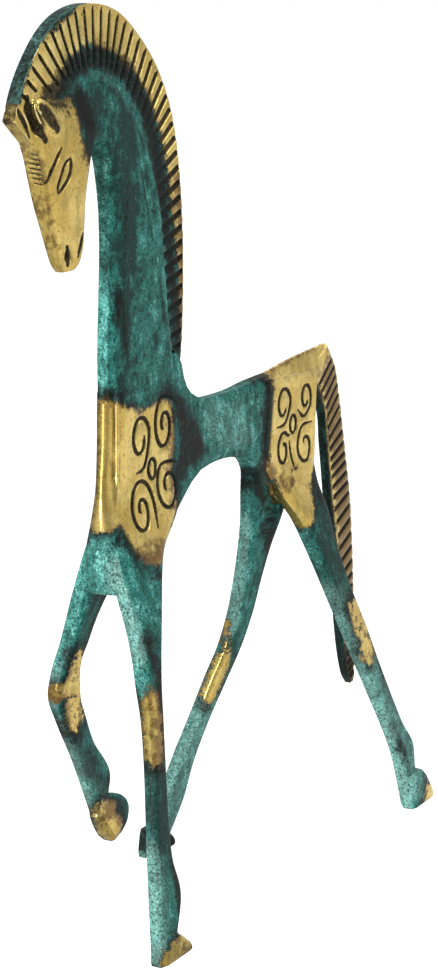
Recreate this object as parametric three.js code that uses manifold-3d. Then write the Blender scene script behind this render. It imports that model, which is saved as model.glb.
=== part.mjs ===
// A slim striding horse in cast bronze, in the manner of the old geometric style.
// One casting: crest, head, neck, body, legs and tail run into each other with no joint.
// It faces -Y, its left side is +X, and it stands on three hooves with the right forefoot raised.
// All lengths come out in millimetres.
import * as THREE from 'three';
import { mergeVertices } from 'three/addons/utils/BufferGeometryUtils.js';
import Module from 'manifold-3d';

// Driving dimension: from the soles to the top of the crest
const HEIGHT = 330;

// Half thickness of the plates, and of the widest part of a hoof, as shares of the height
const CREST_HALF = 0.0078;
const NECK_HALF = 0.0135;
const CHEST_HALF = 0.0135;
const WAIST_HALF = 0.0122;
const HAUNCH_HALF = 0.0135;
const TAIL_HALF = 0.0065;
const HOOF_HALF = 0.0104;
const BEAD_RADIUS = 0.0088;

// Cut lines: half their width at the surface, which is also their depth
const COMB_CUT = 0.0026;
const ROPE_CUT = 0.0026;
const SCROLL_CUT = 0.0020;
const FACE_CUT = 0.0016;
const EAR_GROOVE_CUT = 0.0036;
const HATCH_CUT = 0.0011;

// How many sections each long limb has along its length
const HEAD_STEPS = 9;
const NECK_STEPS = 12;
const LEG_STEPS = 14;
const TAIL_STEPS = 14;

const BRONZE = new THREE.MeshStandardMaterial({ color: 0x4f8f80, roughness: 0.55, metalness: 0.6 });

const wasm = await Module();
wasm.setup();

// A point of the figure, given in shares of its height
function point(x, y, z) {
  return new THREE.Vector3(x, y, z).multiplyScalar(HEIGHT);
}

// Points nearer to each other than this, in millimetres, are one
const SAME_POINT = 1e-4;

// A closed three.js geometry as a solid that can be joined and cut
function solid(geometry) {
  const bare = geometry.clone();
  bare.deleteAttribute('normal');
  bare.deleteAttribute('uv');
  const merged = mergeVertices(bare, SAME_POINT);
  const vertProperties = new Float32Array(merged.attributes.position.array);
  const triVerts = new Uint32Array(merged.index.array);
  return new wasm.Manifold(new wasm.Mesh({ numProp: 3, vertProperties, triVerts }));
}

// The solid back as a three.js geometry
function geometryOf(body) {
  const mesh = body.getMesh();
  const geometry = new THREE.BufferGeometry();
  const positions = [];
  for (let i = 0; i < mesh.numVert; i += 1) {
    positions.push(...mesh.vertProperties.slice(i * mesh.numProp, i * mesh.numProp + 3));
  }
  geometry.setAttribute('position', new THREE.Float32BufferAttribute(positions, 3));
  geometry.setIndex([...mesh.triVerts]);
  return geometry;
}

function joined(solids) {
  return solids.reduce((body, next) => body.add(next));
}

function cutAway(body, cuts) {
  return cuts.reduce((left, cut) => left.subtract(cut), body);
}

// Section outlines: shares of the half width across, and of the half depth towards the front.
// Half an outline goes from front to back down the left side, and is mirrored to the right side.
function bothSides(leftHalf) {
  const rightHalf = leftHalf.map(([across, ahead]) => [-across, ahead]).reverse();
  return [...leftHalf, ...rightHalf];
}

const LEG_OUTLINE = bothSides([[0.6, 1], [1, 0.62], [1, -0.62], [0.6, -1]]);
const NECK_OUTLINE = bothSides([[0.44, 1], [1, 0.6], [1, -0.8], [0.7, -1]]);
const SLAB_OUTLINE = bothSides([[0.75, 1], [1, 0.9], [1, -0.9], [0.75, -1]]);
const HEAD_OUTLINE = bothSides([[0.78, 1], [1, 0.72], [1, -0.6], [0.6, -1]]);
const TAIL_OUTLINE = bothSides([[0.8, 1], [1, 0.85], [1, -0.75], [0.6, -1]]);
const BEAD_OUTLINE = bothSides([[0.26, 1], [0.71, 0.71], [0.97, 0.26], [0.97, -1]]);
const HOOF_OUTLINE = bothSides([[0.6, 1], [1, 0.7], [1, -0.8], [0.6, -1]]);
const ROOF_OUTLINE = bothSides([[1, 1], [0.12, -1]]);

// A limb through stations of [front y, front z, back y, back z, middle x, half width].
// It starts as an upright cylinder of radius 1 and height 1 about the origin. Each of its rings
// is moved to a section between the front and the back line, and the cap centres to the middle.
function limb(stations, outline, steps = stations.length - 1) {
  const front = new THREE.CatmullRomCurve3(stations.map(([y, z]) => new THREE.Vector3(0, y, z)));
  const back = new THREE.CatmullRomCurve3(stations.map(([, , y, z]) => new THREE.Vector3(0, y, z)));
  const breadth = new THREE.SplineCurve(stations.map(([, , , , x, half]) => new THREE.Vector2(x, half)));
  const geometry = new THREE.CylinderGeometry(1, 1, 1, outline.length, steps);
  const position = geometry.attributes.position;
  for (let i = 0; i < position.count; i += 1) {
    const place = THREE.MathUtils.clamp(0.5 - position.getY(i), 0, 1);
    const ahead = front.getPoint(place);
    const behind = back.getPoint(place);
    const across = breadth.getPoint(place);
    const middle = ahead.clone().add(behind).multiplyScalar(0.5);
    const reach = ahead.clone().sub(behind).multiplyScalar(0.5);
    const turn = Math.atan2(position.getX(i), position.getZ(i)) / (2 * Math.PI);
    const corner = outline[Math.round((turn + 1) * outline.length) % outline.length];
    const isCapCentre = Math.hypot(position.getX(i), position.getZ(i)) < 0.5;
    if (!isCapCentre) {
      middle.addScaledVector(reach, corner[1]);
    }
    const x = isCapCentre ? across.x : across.x + corner[0] * across.y;
    position.setXYZ(i, x * HEIGHT, middle.y * HEIGHT, middle.z * HEIGHT);
  }
  return solid(geometry);
}

// The same limb on the other side of the middle plane
function mirrored(stations) {
  return stations.map(([fy, fz, by, bz, x, half]) => [fy, fz, by, bz, -x, half]);
}

// A flat plate, upright on the middle plane, from an outline of points of [y, z]
function plate(outline, half) {
  const shape = new THREE.Shape(outline.map(([y, z]) => new THREE.Vector2(y, z)));
  const geometry = new THREE.ExtrudeGeometry(shape, { depth: 2 * half, bevelEnabled: false });
  const upright = new THREE.Matrix4().makeBasis(
    new THREE.Vector3(0, 1, 0), new THREE.Vector3(0, 0, 1), new THREE.Vector3(1, 0, 0));
  geometry.translate(0, 0, -half);
  geometry.applyMatrix4(upright);
  geometry.scale(HEIGHT, HEIGHT, HEIGHT);
  return solid(geometry);
}

// A bar with a pointed section that follows points of the figure: cut away, it leaves a V groove
function cutter(points, radius, steps) {
  const path = new THREE.CatmullRomCurve3(points);
  const tip = radius * HEIGHT;
  const corners = [[tip, 0], [0, tip], [-tip, 0], [0, -tip]];
  const section = new THREE.Shape(corners.map(([across, deep]) => new THREE.Vector2(across, deep)));
  const geometry = new THREE.ExtrudeGeometry(section, { steps, extrudePath: path, bevelEnabled: false });
  return solid(geometry);
}

// Where a cut runs: on a flat plate of the given half thickness, or on the flank of a rounded body,
// which is found by looking straight in from the side
function onPlate(half) {
  return (side, y, z) => point(side * half, y, z);
}

function onFlank(body) {
  const caster = new THREE.Raycaster();
  return (side, y, z) => {
    caster.set(point(side, y, z), new THREE.Vector3(-side, 0, 0));
    return caster.intersectObject(body)[0].point;
  };
}

// The same cut on the left and on the right side, from points of [y, z]
function cutBothSides(points, place, radius) {
  const steps = points.length - 1;
  return [1, -1].map((side) => cutter(points.map(([y, z]) => place(side, y, z)), radius, steps));
}

// Crest: a flat plate that arches from the forelock over the poll and down to the withers
const CREST_EDGE = [
  [-0.397, 0.890], [-0.383, 0.922], [-0.363, 0.950], [-0.336, 0.976], [-0.303, 0.993], [-0.262, 1.0],
  [-0.217, 0.993], [-0.177, 0.970], [-0.143, 0.939], [-0.120, 0.906], [-0.105, 0.868], [-0.096, 0.825],
  [-0.091, 0.780], [-0.089, 0.735], [-0.090, 0.687], [-0.093, 0.645], [-0.099, 0.612],
];
const CREST_INSIDE = [
  [-0.12, 0.60], [-0.16, 0.70], [-0.17, 0.80], [-0.24, 0.88], [-0.33, 0.86], [-0.369, 0.868],
];
const CREST_POINTS = 2 * (CREST_EDGE.length - 1);

// Comb of the crest: even cuts, from one share of its edge to another. They are square to the edge
// over the head and lean more and more down the neck, by degrees for each share of the edge.
// Down the neck they start outside the edge and are only as long as the crest is wide.
const COMB_CUTS = 40;
const COMB_START = 0.018;
const COMB_END = 0.955;
const COMB_LEAN_START = 0.25;
const COMB_LEAN_RATE = 60;
const COMB_LEAN_MOST = 20;
const COMB_NECK_START = 0.5;
const COMB_INSET = 0.0035;
const COMB_OVERRUN = 0.0020;
const COMB_LENGTHS = [
  [0, 0.056], [0.3, 0.058], [0.5, 0.052], [0.68, 0.046], [0.81, 0.040], [0.9, 0.032], [1, 0.020],
];

// The value at a place in a list of [place, value], on straight lines between them
function between(list, place) {
  const next = Math.max(1, list.findIndex(([at]) => at >= place));
  const [from, first] = list[next - 1];
  const [to, last] = list[next];
  return THREE.MathUtils.mapLinear(place, from, to, first, last);
}

function combCuts(edge) {
  const cuts = [];
  for (let i = 0; i < COMB_CUTS; i += 1) {
    const share = THREE.MathUtils.lerp(COMB_START, COMB_END, i / (COMB_CUTS - 1));
    const onEdge = edge.getPointAt(share);
    const along = edge.getTangentAt(share);
    const degrees = THREE.MathUtils.clamp((share - COMB_LEAN_START) * COMB_LEAN_RATE, 0, COMB_LEAN_MOST);
    const inward = new THREE.Vector2(along.y, -along.x)
      .rotateAround(new THREE.Vector2(), THREE.MathUtils.degToRad(degrees));
    const inset = share < COMB_NECK_START ? COMB_INSET : -COMB_OVERRUN;
    const outer = onEdge.clone().addScaledVector(inward, inset);
    const inner = onEdge.clone().addScaledVector(inward, between(COMB_LENGTHS, share));
    cuts.push(...cutBothSides([outer.toArray(), inner.toArray()], onPlate(CREST_HALF), COMB_CUT));
  }
  return cuts;
}

function crest() {
  const edge = new THREE.SplineCurve(CREST_EDGE.map(([y, z]) => new THREE.Vector2(y, z)));
  const rim = edge.getPoints(CREST_POINTS).map((stop) => stop.toArray());
  return cutAway(plate([...rim, ...CREST_INSIDE], CREST_HALF), combCuts(edge));
}

// Rounded fillings where the neck meets the back, and where the belly meets the right hind leg
const WITHERS = [
  [-0.115, 0.640], [-0.1005, 0.622], [-0.0955, 0.606], [-0.0890, 0.5945], [-0.0800, 0.5865],
  [-0.0680, 0.5805], [-0.0520, 0.5765], [-0.052, 0.550], [-0.115, 0.550],
];
const GROIN = [
  [0.020, 0.510], [0.090, 0.510], [0.090, 0.455], [0.0735, 0.455], [0.0705, 0.4710], [0.0650, 0.4815],
  [0.056, 0.4895], [0.043, 0.4955], [0.020, 0.4995],
];

// Head: a long wedge that hangs almost straight down, broad at the brow and narrow at the muzzle
const HEAD = [
  [-0.353, 0.905, -0.268, 0.905, 0, 0.0100],
  [-0.3695, 0.878, -0.259, 0.875, 0, 0.0132],
  [-0.3605, 0.852, -0.269, 0.846, 0, 0.0138],
  [-0.3480, 0.811, -0.2775, 0.811, 0, 0.0124],
  [-0.3368, 0.781, -0.278, 0.783, 0, 0.0098],
  [-0.3288, 0.761, -0.280, 0.761, 0, 0.0086],
  [-0.3220, 0.747, -0.287, 0.747, 0, 0.0074],
  [-0.3155, 0.740, -0.294, 0.741, 0, 0.0056],
];

// Neck: a deep blade with a narrow front face, from the poll down into the shoulders
const NECK = [
  [-0.300, 0.870, -0.322, 0.905, 0, 0.0110],
  [-0.264, 0.864, -0.292, 0.926, 0, 0.0128],
  [-0.249, 0.858, -0.252, 0.933, 0, NECK_HALF],
  [-0.242, 0.845, -0.210, 0.908, 0, NECK_HALF],
  [-0.239, 0.825, -0.170, 0.862, 0, NECK_HALF],
  [-0.235, 0.795, -0.141, 0.800, 0, NECK_HALF],
  [-0.234, 0.755, -0.133, 0.745, 0, NECK_HALF],
  [-0.237, 0.700, -0.125, 0.690, 0, NECK_HALF],
  [-0.240, 0.645, -0.116, 0.640, 0, NECK_HALF],
  [-0.239, 0.595, -0.100, 0.590, 0, NECK_HALF],
  [-0.235, 0.560, -0.085, 0.560, 0, NECK_HALF],
];

// Chest: a flat-sided slab behind a round bead that runs down its front between two thin fillets
const CHEST = [
  [-0.228, 0.610, -0.100, 0.605, 0, CHEST_HALF],
  [-0.228, 0.575, -0.075, 0.570, 0, CHEST_HALF],
  [-0.228, 0.520, -0.048, 0.506, 0, CHEST_HALF],
  [-0.230, 0.487, -0.078, 0.486, 0, CHEST_HALF],
  [-0.232, 0.455, -0.114, 0.455, 0, 0.0120],
];
const BEAD = [
  [-0.2410, 0.625, -0.226, 0.625, 0, 0.0066],
  [-0.2425, 0.600, -0.226, 0.600, 0, BEAD_RADIUS],
  [-0.2445, 0.550, -0.227, 0.550, 0, BEAD_RADIUS],
  [-0.2485, 0.508, -0.228, 0.508, 0, BEAD_RADIUS],
  [-0.2520, 0.475, -0.220, 0.475, 0, 0.0150],
  [-0.2530, 0.440, -0.215, 0.440, 0, 0.0240],
  [-0.2500, 0.397, -0.215, 0.397, 0, 0.0300],
];
const FILLET = [
  [-0.2315, 0.607, -0.226, 0.607, 0.0112, 0.0014],
  [-0.2315, 0.560, -0.226, 0.560, 0.0112, 0.0014],
  [-0.2330, 0.508, -0.228, 0.508, 0.0114, 0.0014],
  [-0.2400, 0.470, -0.228, 0.470, 0.0122, 0.0014],
];

// Waist: the slim barrel, from belly line to back line, running to the rear
const WAIST = [
  [-0.120, 0.470, -0.120, 0.590, 0, WAIST_HALF],
  [-0.080, 0.486, -0.090, 0.582, 0, WAIST_HALF],
  [-0.050, 0.495, -0.062, 0.576, 0, WAIST_HALF],
  [-0.020, 0.499, -0.025, 0.5735, 0, WAIST_HALF],
  [0.015, 0.498, 0.020, 0.574, 0, WAIST_HALF],
  [0.050, 0.490, 0.060, 0.578, 0, WAIST_HALF],
  [0.100, 0.470, 0.110, 0.581, 0, WAIST_HALF],
];

// Haunch: a flat-sided block, from its front line to its back line, running down
const HAUNCH = [
  [0.088, 0.577, 0.220, 0.571, 0, HAUNCH_HALF],
  [0.086, 0.535, 0.217, 0.535, 0, HAUNCH_HALF],
  [0.080, 0.495, 0.215, 0.490, 0, HAUNCH_HALF],
  [0.096, 0.466, 0.213, 0.462, 0, HAUNCH_HALF],
  [0.118, 0.445, 0.208, 0.440, 0, 0.0110],
];
// Croup: a roof on the haunch that rises to a point over the tail
const CROUP = [
  [0.080, 0.560, 0.085, 0.580, 0, 0.0125],
  [0.150, 0.560, 0.168, 0.5910, 0, HAUNCH_HALF],
  [0.219, 0.560, 0.256, 0.598, 0, HAUNCH_HALF],
];

// Legs, from inside the body down to the pastern. Both forelegs start alike in the shoulder.
const SHOULDER = [
  [-0.233, 0.520, -0.097, 0.510, 0.0035, 0.0098],
  [-0.241, 0.467, -0.114, 0.465, 0.0088, 0.0106],
  [-0.247, 0.430, -0.158, 0.430, 0.0175, 0.0120],
];
const LEFT_FORELEG = [
  ...SHOULDER,
  [-0.248, 0.394, -0.182, 0.394, 0.0280, 0.0130],
  [-0.247, 0.365, -0.196, 0.365, 0.0362, 0.0120],
  [-0.247, 0.330, -0.210, 0.330, 0.0442, 0.0108],
  [-0.248, 0.300, -0.217, 0.300, 0.0490, 0.0100],
  [-0.247, 0.265, -0.220, 0.265, 0.0535, 0.0088],
  [-0.247, 0.220, -0.221, 0.220, 0.0565, 0.0084],
  [-0.249, 0.155, -0.220, 0.155, 0.0595, 0.0084],
  [-0.252, 0.110, -0.217, 0.110, 0.0625, 0.0086],
  [-0.255, 0.068, -0.205, 0.066, 0.0660, 0.0092],
  [-0.258, 0.036, -0.219, 0.026, 0.0695, 0.0090],
  [-0.259, 0.004, -0.226, 0.004, 0.0720, 0.0090],
];
const RIGHT_FORELEG = [
  ...mirrored(SHOULDER),
  [-0.250, 0.394, -0.193, 0.394, -0.0270, 0.0122],
  [-0.251, 0.365, -0.210, 0.365, -0.0345, 0.0114],
  [-0.256, 0.335, -0.220, 0.335, -0.0410, 0.0106],
  [-0.264, 0.312, -0.227, 0.312, -0.0455, 0.0100],
  [-0.269, 0.284, -0.222, 0.272, -0.0490, 0.0098],
  [-0.250, 0.246, -0.210, 0.250, -0.0515, 0.0090],
  [-0.220, 0.198, -0.190, 0.212, -0.0540, 0.0088],
  [-0.194, 0.150, -0.155, 0.166, -0.0560, 0.0092],
  [-0.176, 0.116, -0.158, 0.140, -0.0575, 0.0088],
  [-0.160, 0.088, -0.144, 0.114, -0.0590, 0.0088],
];
const RIGHT_HIND_LEG = [
  [0.066, 0.490, 0.185, 0.480, -0.0035, 0.0098],
  [0.074, 0.448, 0.180, 0.436, -0.0085, 0.0110],
  [0.086, 0.405, 0.166, 0.400, -0.0150, 0.0120],
  [0.095, 0.365, 0.155, 0.365, -0.0240, 0.0116],
  [0.101, 0.325, 0.148, 0.325, -0.0330, 0.0110],
  [0.102, 0.285, 0.142, 0.280, -0.0420, 0.0105],
  [0.094, 0.245, 0.131, 0.240, -0.0510, 0.0100],
  [0.078, 0.212, 0.110, 0.202, -0.0590, 0.0097],
  [0.058, 0.166, 0.083, 0.155, -0.0690, 0.0095],
  [0.036, 0.121, 0.064, 0.106, -0.0790, 0.0094],
  [0.019, 0.076, 0.058, 0.064, -0.0880, 0.0096],
  [0.012, 0.040, 0.046, 0.030, -0.0960, 0.0092],
  [0.003, 0.004, 0.037, 0.004, -0.1040, 0.0092],
];
const LEFT_HIND_LEG = [
  [0.095, 0.480, 0.208, 0.480, 0.0035, 0.0098],
  [0.122, 0.436, 0.213, 0.436, 0.0095, 0.0110],
  [0.147, 0.402, 0.219, 0.402, 0.0200, 0.0120],
  [0.174, 0.350, 0.226, 0.350, 0.0310, 0.0118],
  [0.199, 0.295, 0.244, 0.295, 0.0420, 0.0112],
  [0.219, 0.250, 0.264, 0.250, 0.0510, 0.0107],
  [0.243, 0.200, 0.286, 0.196, 0.0600, 0.0102],
  [0.265, 0.154, 0.307, 0.146, 0.0690, 0.0100],
  [0.283, 0.115, 0.324, 0.108, 0.0765, 0.0098],
  [0.298, 0.076, 0.340, 0.080, 0.0835, 0.0100],
  [0.304, 0.046, 0.337, 0.046, 0.0890, 0.0096],
  [0.307, 0.004, 0.340, 0.004, 0.0970, 0.0096],
];

// Hooves: a flat sole, a straight toe and a heel that stands out behind.
// Stations of [toe, heel, share of the hoof's height, half width]
const HOOF = [
  [0.004, 0.030, 1.0, 0.0078],
  [0.002, 0.041, 0.80, 0.0094],
  [0.000, 0.054, 0.45, HOOF_HALF],
  [-0.001, 0.063, 0.20, HOOF_HALF],
  [0.000, 0.0660, 0.0, 0.0098],
];
const LEFT_FORE_HOOF = { toe: -0.259, x: 0.0725, height: 0.030 };
const RIGHT_HIND_HOOF = { toe: -0.002, x: -0.1040, height: 0.034 };
const LEFT_HIND_HOOF = { toe: 0.308, x: 0.0985, height: 0.046 };

function hoof({ toe, x, height }) {
  const stations = HOOF.map(([front, back, rise, half]) => (
    [toe + front, rise * height, toe + back, rise * height, x, half]));
  return limb(stations, HOOF_OUTLINE);
}

// The raised hoof hangs from the pastern, toe down
const RAISED_HOOF = [
  [-0.181, 0.120, -0.146, 0.136, -0.0570, 0.0080],
  [-0.175, 0.110, -0.129, 0.130, -0.0575, 0.0094],
  [-0.167, 0.098, -0.116, 0.117, -0.0580, HOOF_HALF],
  [-0.157, 0.087, -0.118, 0.100, -0.0585, HOOF_HALF],
  [-0.149, 0.080, -0.129, 0.087, -0.0590, 0.0085],
];

// Tail: a strip that springs from the croup and hangs clear behind the haunch
const TAIL = [
  [0.205, 0.570, 0.254, 0.597, 0, 0.0085],
  [0.222, 0.545, 0.277, 0.568, 0, 0.0078],
  [0.246, 0.515, 0.291, 0.530, 0, TAIL_HALF],
  [0.253, 0.475, 0.304, 0.480, 0, TAIL_HALF],
  [0.260, 0.437, 0.315, 0.437, 0, TAIL_HALF],
  [0.267, 0.398, 0.325, 0.395, 0, TAIL_HALF],
  [0.282, 0.345, 0.332, 0.340, 0, TAIL_HALF],
  [0.290, 0.290, 0.337, 0.286, 0, TAIL_HALF],
  [0.298, 0.240, 0.340, 0.236, 0, TAIL_HALF],
  [0.308, 0.195, 0.342, 0.190, 0, 0.0062],
  [0.321, 0.160, 0.343, 0.158, 0, 0.0056],
  [0.332, 0.146, 0.341, 0.147, 0, 0.0042],
];

// Rope of the tail: slanting cuts on both flanks, from one share of its length to another. Each
// rises to the rear, from near the front edge out past the back edge.
const ROPE_CUTS = 29;
const ROPE_START = 0.10;
const ROPE_END = 0.93;
const ROPE_RISE = 0.045;
const ROPE_FRONT = 0.14;
const ROPE_BACK = 1.12;

function tail() {
  const front = new THREE.SplineCurve(TAIL.map(([y, z]) => new THREE.Vector2(y, z)));
  const back = new THREE.SplineCurve(TAIL.map(([, , y, z]) => new THREE.Vector2(y, z)));
  const cuts = [];
  for (let i = 0; i < ROPE_CUTS; i += 1) {
    const share = THREE.MathUtils.lerp(ROPE_START, ROPE_END, i / (ROPE_CUTS - 1));
    const lower = front.getPoint(share);
    const upper = back.getPoint(share - ROPE_RISE);
    const ends = [ROPE_FRONT, ROPE_BACK].map((reach) => lower.clone().lerp(upper, reach).toArray());
    cuts.push(...cutBothSides(ends, onPlate(TAIL_HALF), ROPE_CUT));
  }
  return cutAway(limb(TAIL, TAIL_OUTLINE, TAIL_STEPS), cuts);
}

// Scrolls on both flanks, four about a small ring on the chest and four on the haunch, as
// [centre y, centre z, half width, half height, first and last angle, reach at the last, lead-in]
const SCROLLS = [
  [-0.1877, 0.5527, 0.0182, 0.0259, 12, 370, 0.41, [[-0.1963, 0.5175], [-0.1808, 0.5212]]],
  [-0.1397, 0.5608, 0.0199, 0.0314, 105, 588, 0.17, [[-0.1135, 0.5793], [-0.1277, 0.5898]]],
  [-0.1918, 0.4776, 0.0235, 0.0337, 28, 562, 0.14, [[-0.1672, 0.4550], [-0.1659, 0.4755]]],
  [-0.1339, 0.4933, 0.0244, 0.0293, 123, 561, 0.28, [[-0.1142, 0.5161], [-0.1283, 0.5195]]],
  [0.1290, 0.5401, 0.0177, 0.0238, 11, 329, 0.33, [[0.1121, 0.5168], [0.1330, 0.5190]]],
  [0.1845, 0.5421, 0.0139, 0.0190, -43, 326, 0.40, [[0.1641, 0.5302], [0.1795, 0.5205]]],
  [0.1290, 0.4870, 0.0155, 0.0225, 50, 470, 0.30, [[0.1444, 0.5032]]],
  [0.1835, 0.4845, 0.0215, 0.0262, 105, 500, 0.28, [[0.2002, 0.5112]]],
];
const DEGREES_PER_STOP = 45;

// Rings as [centre y, centre z, half width, half height], and the stem below the haunch's ring
const RINGS = [[-0.1646, 0.5174, 0.0072, 0.0105], [0.1528, 0.5150, 0.0072, 0.0105]];
const RING_SIDES = 8;
const RING_TUBE_SIDES = 4;
const HAUNCH_STEM = [[0.1425, 0.4960], [0.1475, 0.4790], [0.1525, 0.4620]];

// A line that comes in along its lead and winds up towards the centre
function scroll(cy, cz, wide, tall, first, last, endReach, lead) {
  const steps = Math.round((last - first) / DEGREES_PER_STOP);
  const turns = Array.from({ length: steps + 1 }, (_, i) => {
    const angle = THREE.MathUtils.degToRad(THREE.MathUtils.lerp(first, last, i / steps));
    const reach = THREE.MathUtils.lerp(1, endReach, i / steps);
    return [cy + wide * reach * Math.cos(angle), cz + tall * reach * Math.sin(angle)];
  });
  return [...lead, ...turns];
}

function ring(side, [y, z, wide, tall], place) {
  const geometry = new THREE.TorusGeometry(tall * HEIGHT, SCROLL_CUT * HEIGHT, RING_TUBE_SIDES, RING_SIDES);
  const middle = place(side, y, z);
  geometry.scale(1, wide / tall, 1);
  geometry.rotateY(Math.PI / 2);
  geometry.translate(middle.x, middle.y, middle.z);
  return solid(geometry);
}

function scrollCuts(place) {
  const cuts = cutBothSides(HAUNCH_STEM, place, SCROLL_CUT);
  for (const row of SCROLLS) {
    cuts.push(...cutBothSides(scroll(...row), place, SCROLL_CUT));
  }
  for (const row of RINGS) {
    cuts.push(ring(1, row, place), ring(-1, row, place));
  }
  return cuts;
}

// Face: brow line, almond eye, mouth, nostril, the groove before the ear and the brow's hatching
const BROW = [[-0.3280, 0.8627], [-0.3351, 0.8535], [-0.3440, 0.8426], [-0.3511, 0.8306]];
const BACK_LID = [
  [-0.3126, 0.8523], [-0.3111, 0.8445], [-0.3148, 0.8341], [-0.3238, 0.8250], [-0.3330, 0.8195],
];
const FRONT_LID = [[-0.3126, 0.8523], [-0.3215, 0.8470], [-0.3278, 0.8368], [-0.3332, 0.8266]];
const MOUTH = [[-0.2908, 0.7790], [-0.2918, 0.7696], [-0.2947, 0.7619]];
const EAR_GROOVE = [[-0.3720, 0.9050], [-0.3649, 0.8927], [-0.3569, 0.8811], [-0.3480, 0.8730]];
const NOSTRIL = { y: -0.3110, z: 0.7565, width: 0.0046, height: 0.0092, depth: 0.0032 };
const NOSTRIL_SIDES = 7;
const NOSTRIL_RINGS = 5;
const HATCH_CUTS = 8;
const HATCH_TOP = { y: -0.3665, z: 0.8690 };
const HATCH_BOTTOM = { y: -0.3540, z: 0.8306 };

function nostril(side, place) {
  const geometry = new THREE.SphereGeometry(HEIGHT, NOSTRIL_SIDES, NOSTRIL_RINGS);
  const middle = place(side, NOSTRIL.y, NOSTRIL.z);
  geometry.scale(NOSTRIL.depth, NOSTRIL.width, NOSTRIL.height);
  geometry.translate(middle.x, middle.y, middle.z);
  return solid(geometry);
}

function faceCuts(place) {
  const cuts = [nostril(1, place), nostril(-1, place)];
  for (const line of [BROW, BACK_LID, FRONT_LID, MOUTH]) {
    cuts.push(...cutBothSides(line, place, FACE_CUT));
  }
  cuts.push(...cutBothSides(EAR_GROOVE, place, EAR_GROOVE_CUT));
  for (let i = 0; i < HATCH_CUTS; i += 1) {
    const share = i / (HATCH_CUTS - 1);
    const y = THREE.MathUtils.lerp(HATCH_TOP.y, HATCH_BOTTOM.y, share);
    const z = THREE.MathUtils.lerp(HATCH_TOP.z, HATCH_BOTTOM.z, share);
    cuts.push(cutter([point(-NECK_HALF, y, z), point(NECK_HALF, y, z)], HATCH_CUT, 1));
  }
  return cuts;
}

// Ears: two leaves that lie forward along the head, each with a hollow on its outer side
const EAR = { out: 0.0112, y: -0.3475, z: 0.8915, half: 0.0064, deep: 0.0125, long: 0.0270 };
const EAR_LEAN = 0.88;
const EAR_HOLLOW_OUT = 0.0170;
const EAR_HOLLOW_SHARE = 0.66;
const EAR_SIDES = 10;
const EAR_RINGS = 6;

function leaf(x, size) {
  const geometry = new THREE.SphereGeometry(size * HEIGHT, EAR_SIDES, EAR_RINGS);
  geometry.scale(EAR.half, EAR.deep, EAR.long);
  geometry.rotateX(EAR_LEAN);
  geometry.translate(x * HEIGHT, EAR.y * HEIGHT, EAR.z * HEIGHT);
  return solid(geometry);
}

function horse() {
  const whole = joined([
    crest(),
    plate(WITHERS, WAIST_HALF),
    plate(GROIN, WAIST_HALF),
    limb(HEAD, HEAD_OUTLINE, HEAD_STEPS),
    limb(NECK, NECK_OUTLINE, NECK_STEPS),
    limb(CHEST, SLAB_OUTLINE),
    limb(BEAD, BEAD_OUTLINE),
    limb(FILLET, SLAB_OUTLINE),
    limb(mirrored(FILLET), SLAB_OUTLINE),
    limb(WAIST, LEG_OUTLINE),
    limb(HAUNCH, SLAB_OUTLINE),
    limb(CROUP, ROOF_OUTLINE),
    limb(LEFT_FORELEG, LEG_OUTLINE, LEG_STEPS),
    limb(RIGHT_FORELEG, LEG_OUTLINE, LEG_STEPS),
    limb(RIGHT_HIND_LEG, LEG_OUTLINE, LEG_STEPS),
    limb(LEFT_HIND_LEG, LEG_OUTLINE, LEG_STEPS),
    tail(),
    hoof(LEFT_FORE_HOOF),
    hoof(RIGHT_HIND_HOOF),
    hoof(LEFT_HIND_HOOF),
    limb(RAISED_HOOF, LEG_OUTLINE),
    leaf(EAR.out, 1),
    leaf(-EAR.out, 1),
  ]);
  const flank = onFlank(new THREE.Mesh(geometryOf(whole), BRONZE));
  return cutAway(whole, [
    ...scrollCuts(flank),
    ...faceCuts(flank),
    leaf(EAR_HOLLOW_OUT, EAR_HOLLOW_SHARE),
    leaf(-EAR_HOLLOW_OUT, EAR_HOLLOW_SHARE),
  ]);
}

// The origin is on the ground, under the middle of the figure's box
function centred(geometry) {
  geometry.computeBoundingBox();
  const middle = geometry.boundingBox.getCenter(new THREE.Vector3());
  geometry.translate(-middle.x, -middle.y, -geometry.boundingBox.min.z);
  return geometry;
}

const mesh = new THREE.Mesh(centred(geometryOf(horse())), BRONZE);
mesh.name = 'horse';
const group = new THREE.Group();
group.add(mesh);

export default group;
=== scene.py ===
import math

import bpy
import numpy as np
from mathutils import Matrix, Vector


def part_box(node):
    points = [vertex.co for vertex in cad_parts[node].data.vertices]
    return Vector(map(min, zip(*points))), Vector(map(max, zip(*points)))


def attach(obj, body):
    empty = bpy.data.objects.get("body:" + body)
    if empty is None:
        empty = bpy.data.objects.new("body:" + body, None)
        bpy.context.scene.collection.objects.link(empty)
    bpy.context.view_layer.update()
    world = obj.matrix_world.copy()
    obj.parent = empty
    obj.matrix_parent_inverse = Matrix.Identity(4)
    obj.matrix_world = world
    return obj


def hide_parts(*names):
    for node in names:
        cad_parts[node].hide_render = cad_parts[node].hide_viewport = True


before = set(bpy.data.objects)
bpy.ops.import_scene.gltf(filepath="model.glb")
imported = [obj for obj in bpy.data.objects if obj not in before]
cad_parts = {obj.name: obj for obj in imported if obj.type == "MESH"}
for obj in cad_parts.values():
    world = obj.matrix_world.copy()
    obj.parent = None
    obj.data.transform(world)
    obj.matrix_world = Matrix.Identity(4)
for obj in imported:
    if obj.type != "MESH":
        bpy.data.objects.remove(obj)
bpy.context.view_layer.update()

# The casting
# The horse is one bronze, poured solid. Its flat plates and faceted limbs come from a carved
# pattern, and the edges are softened by the mould and by filing. It stands on three hooves.

low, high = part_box("horse")
HEIGHT = high[2] - low[2]

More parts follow.
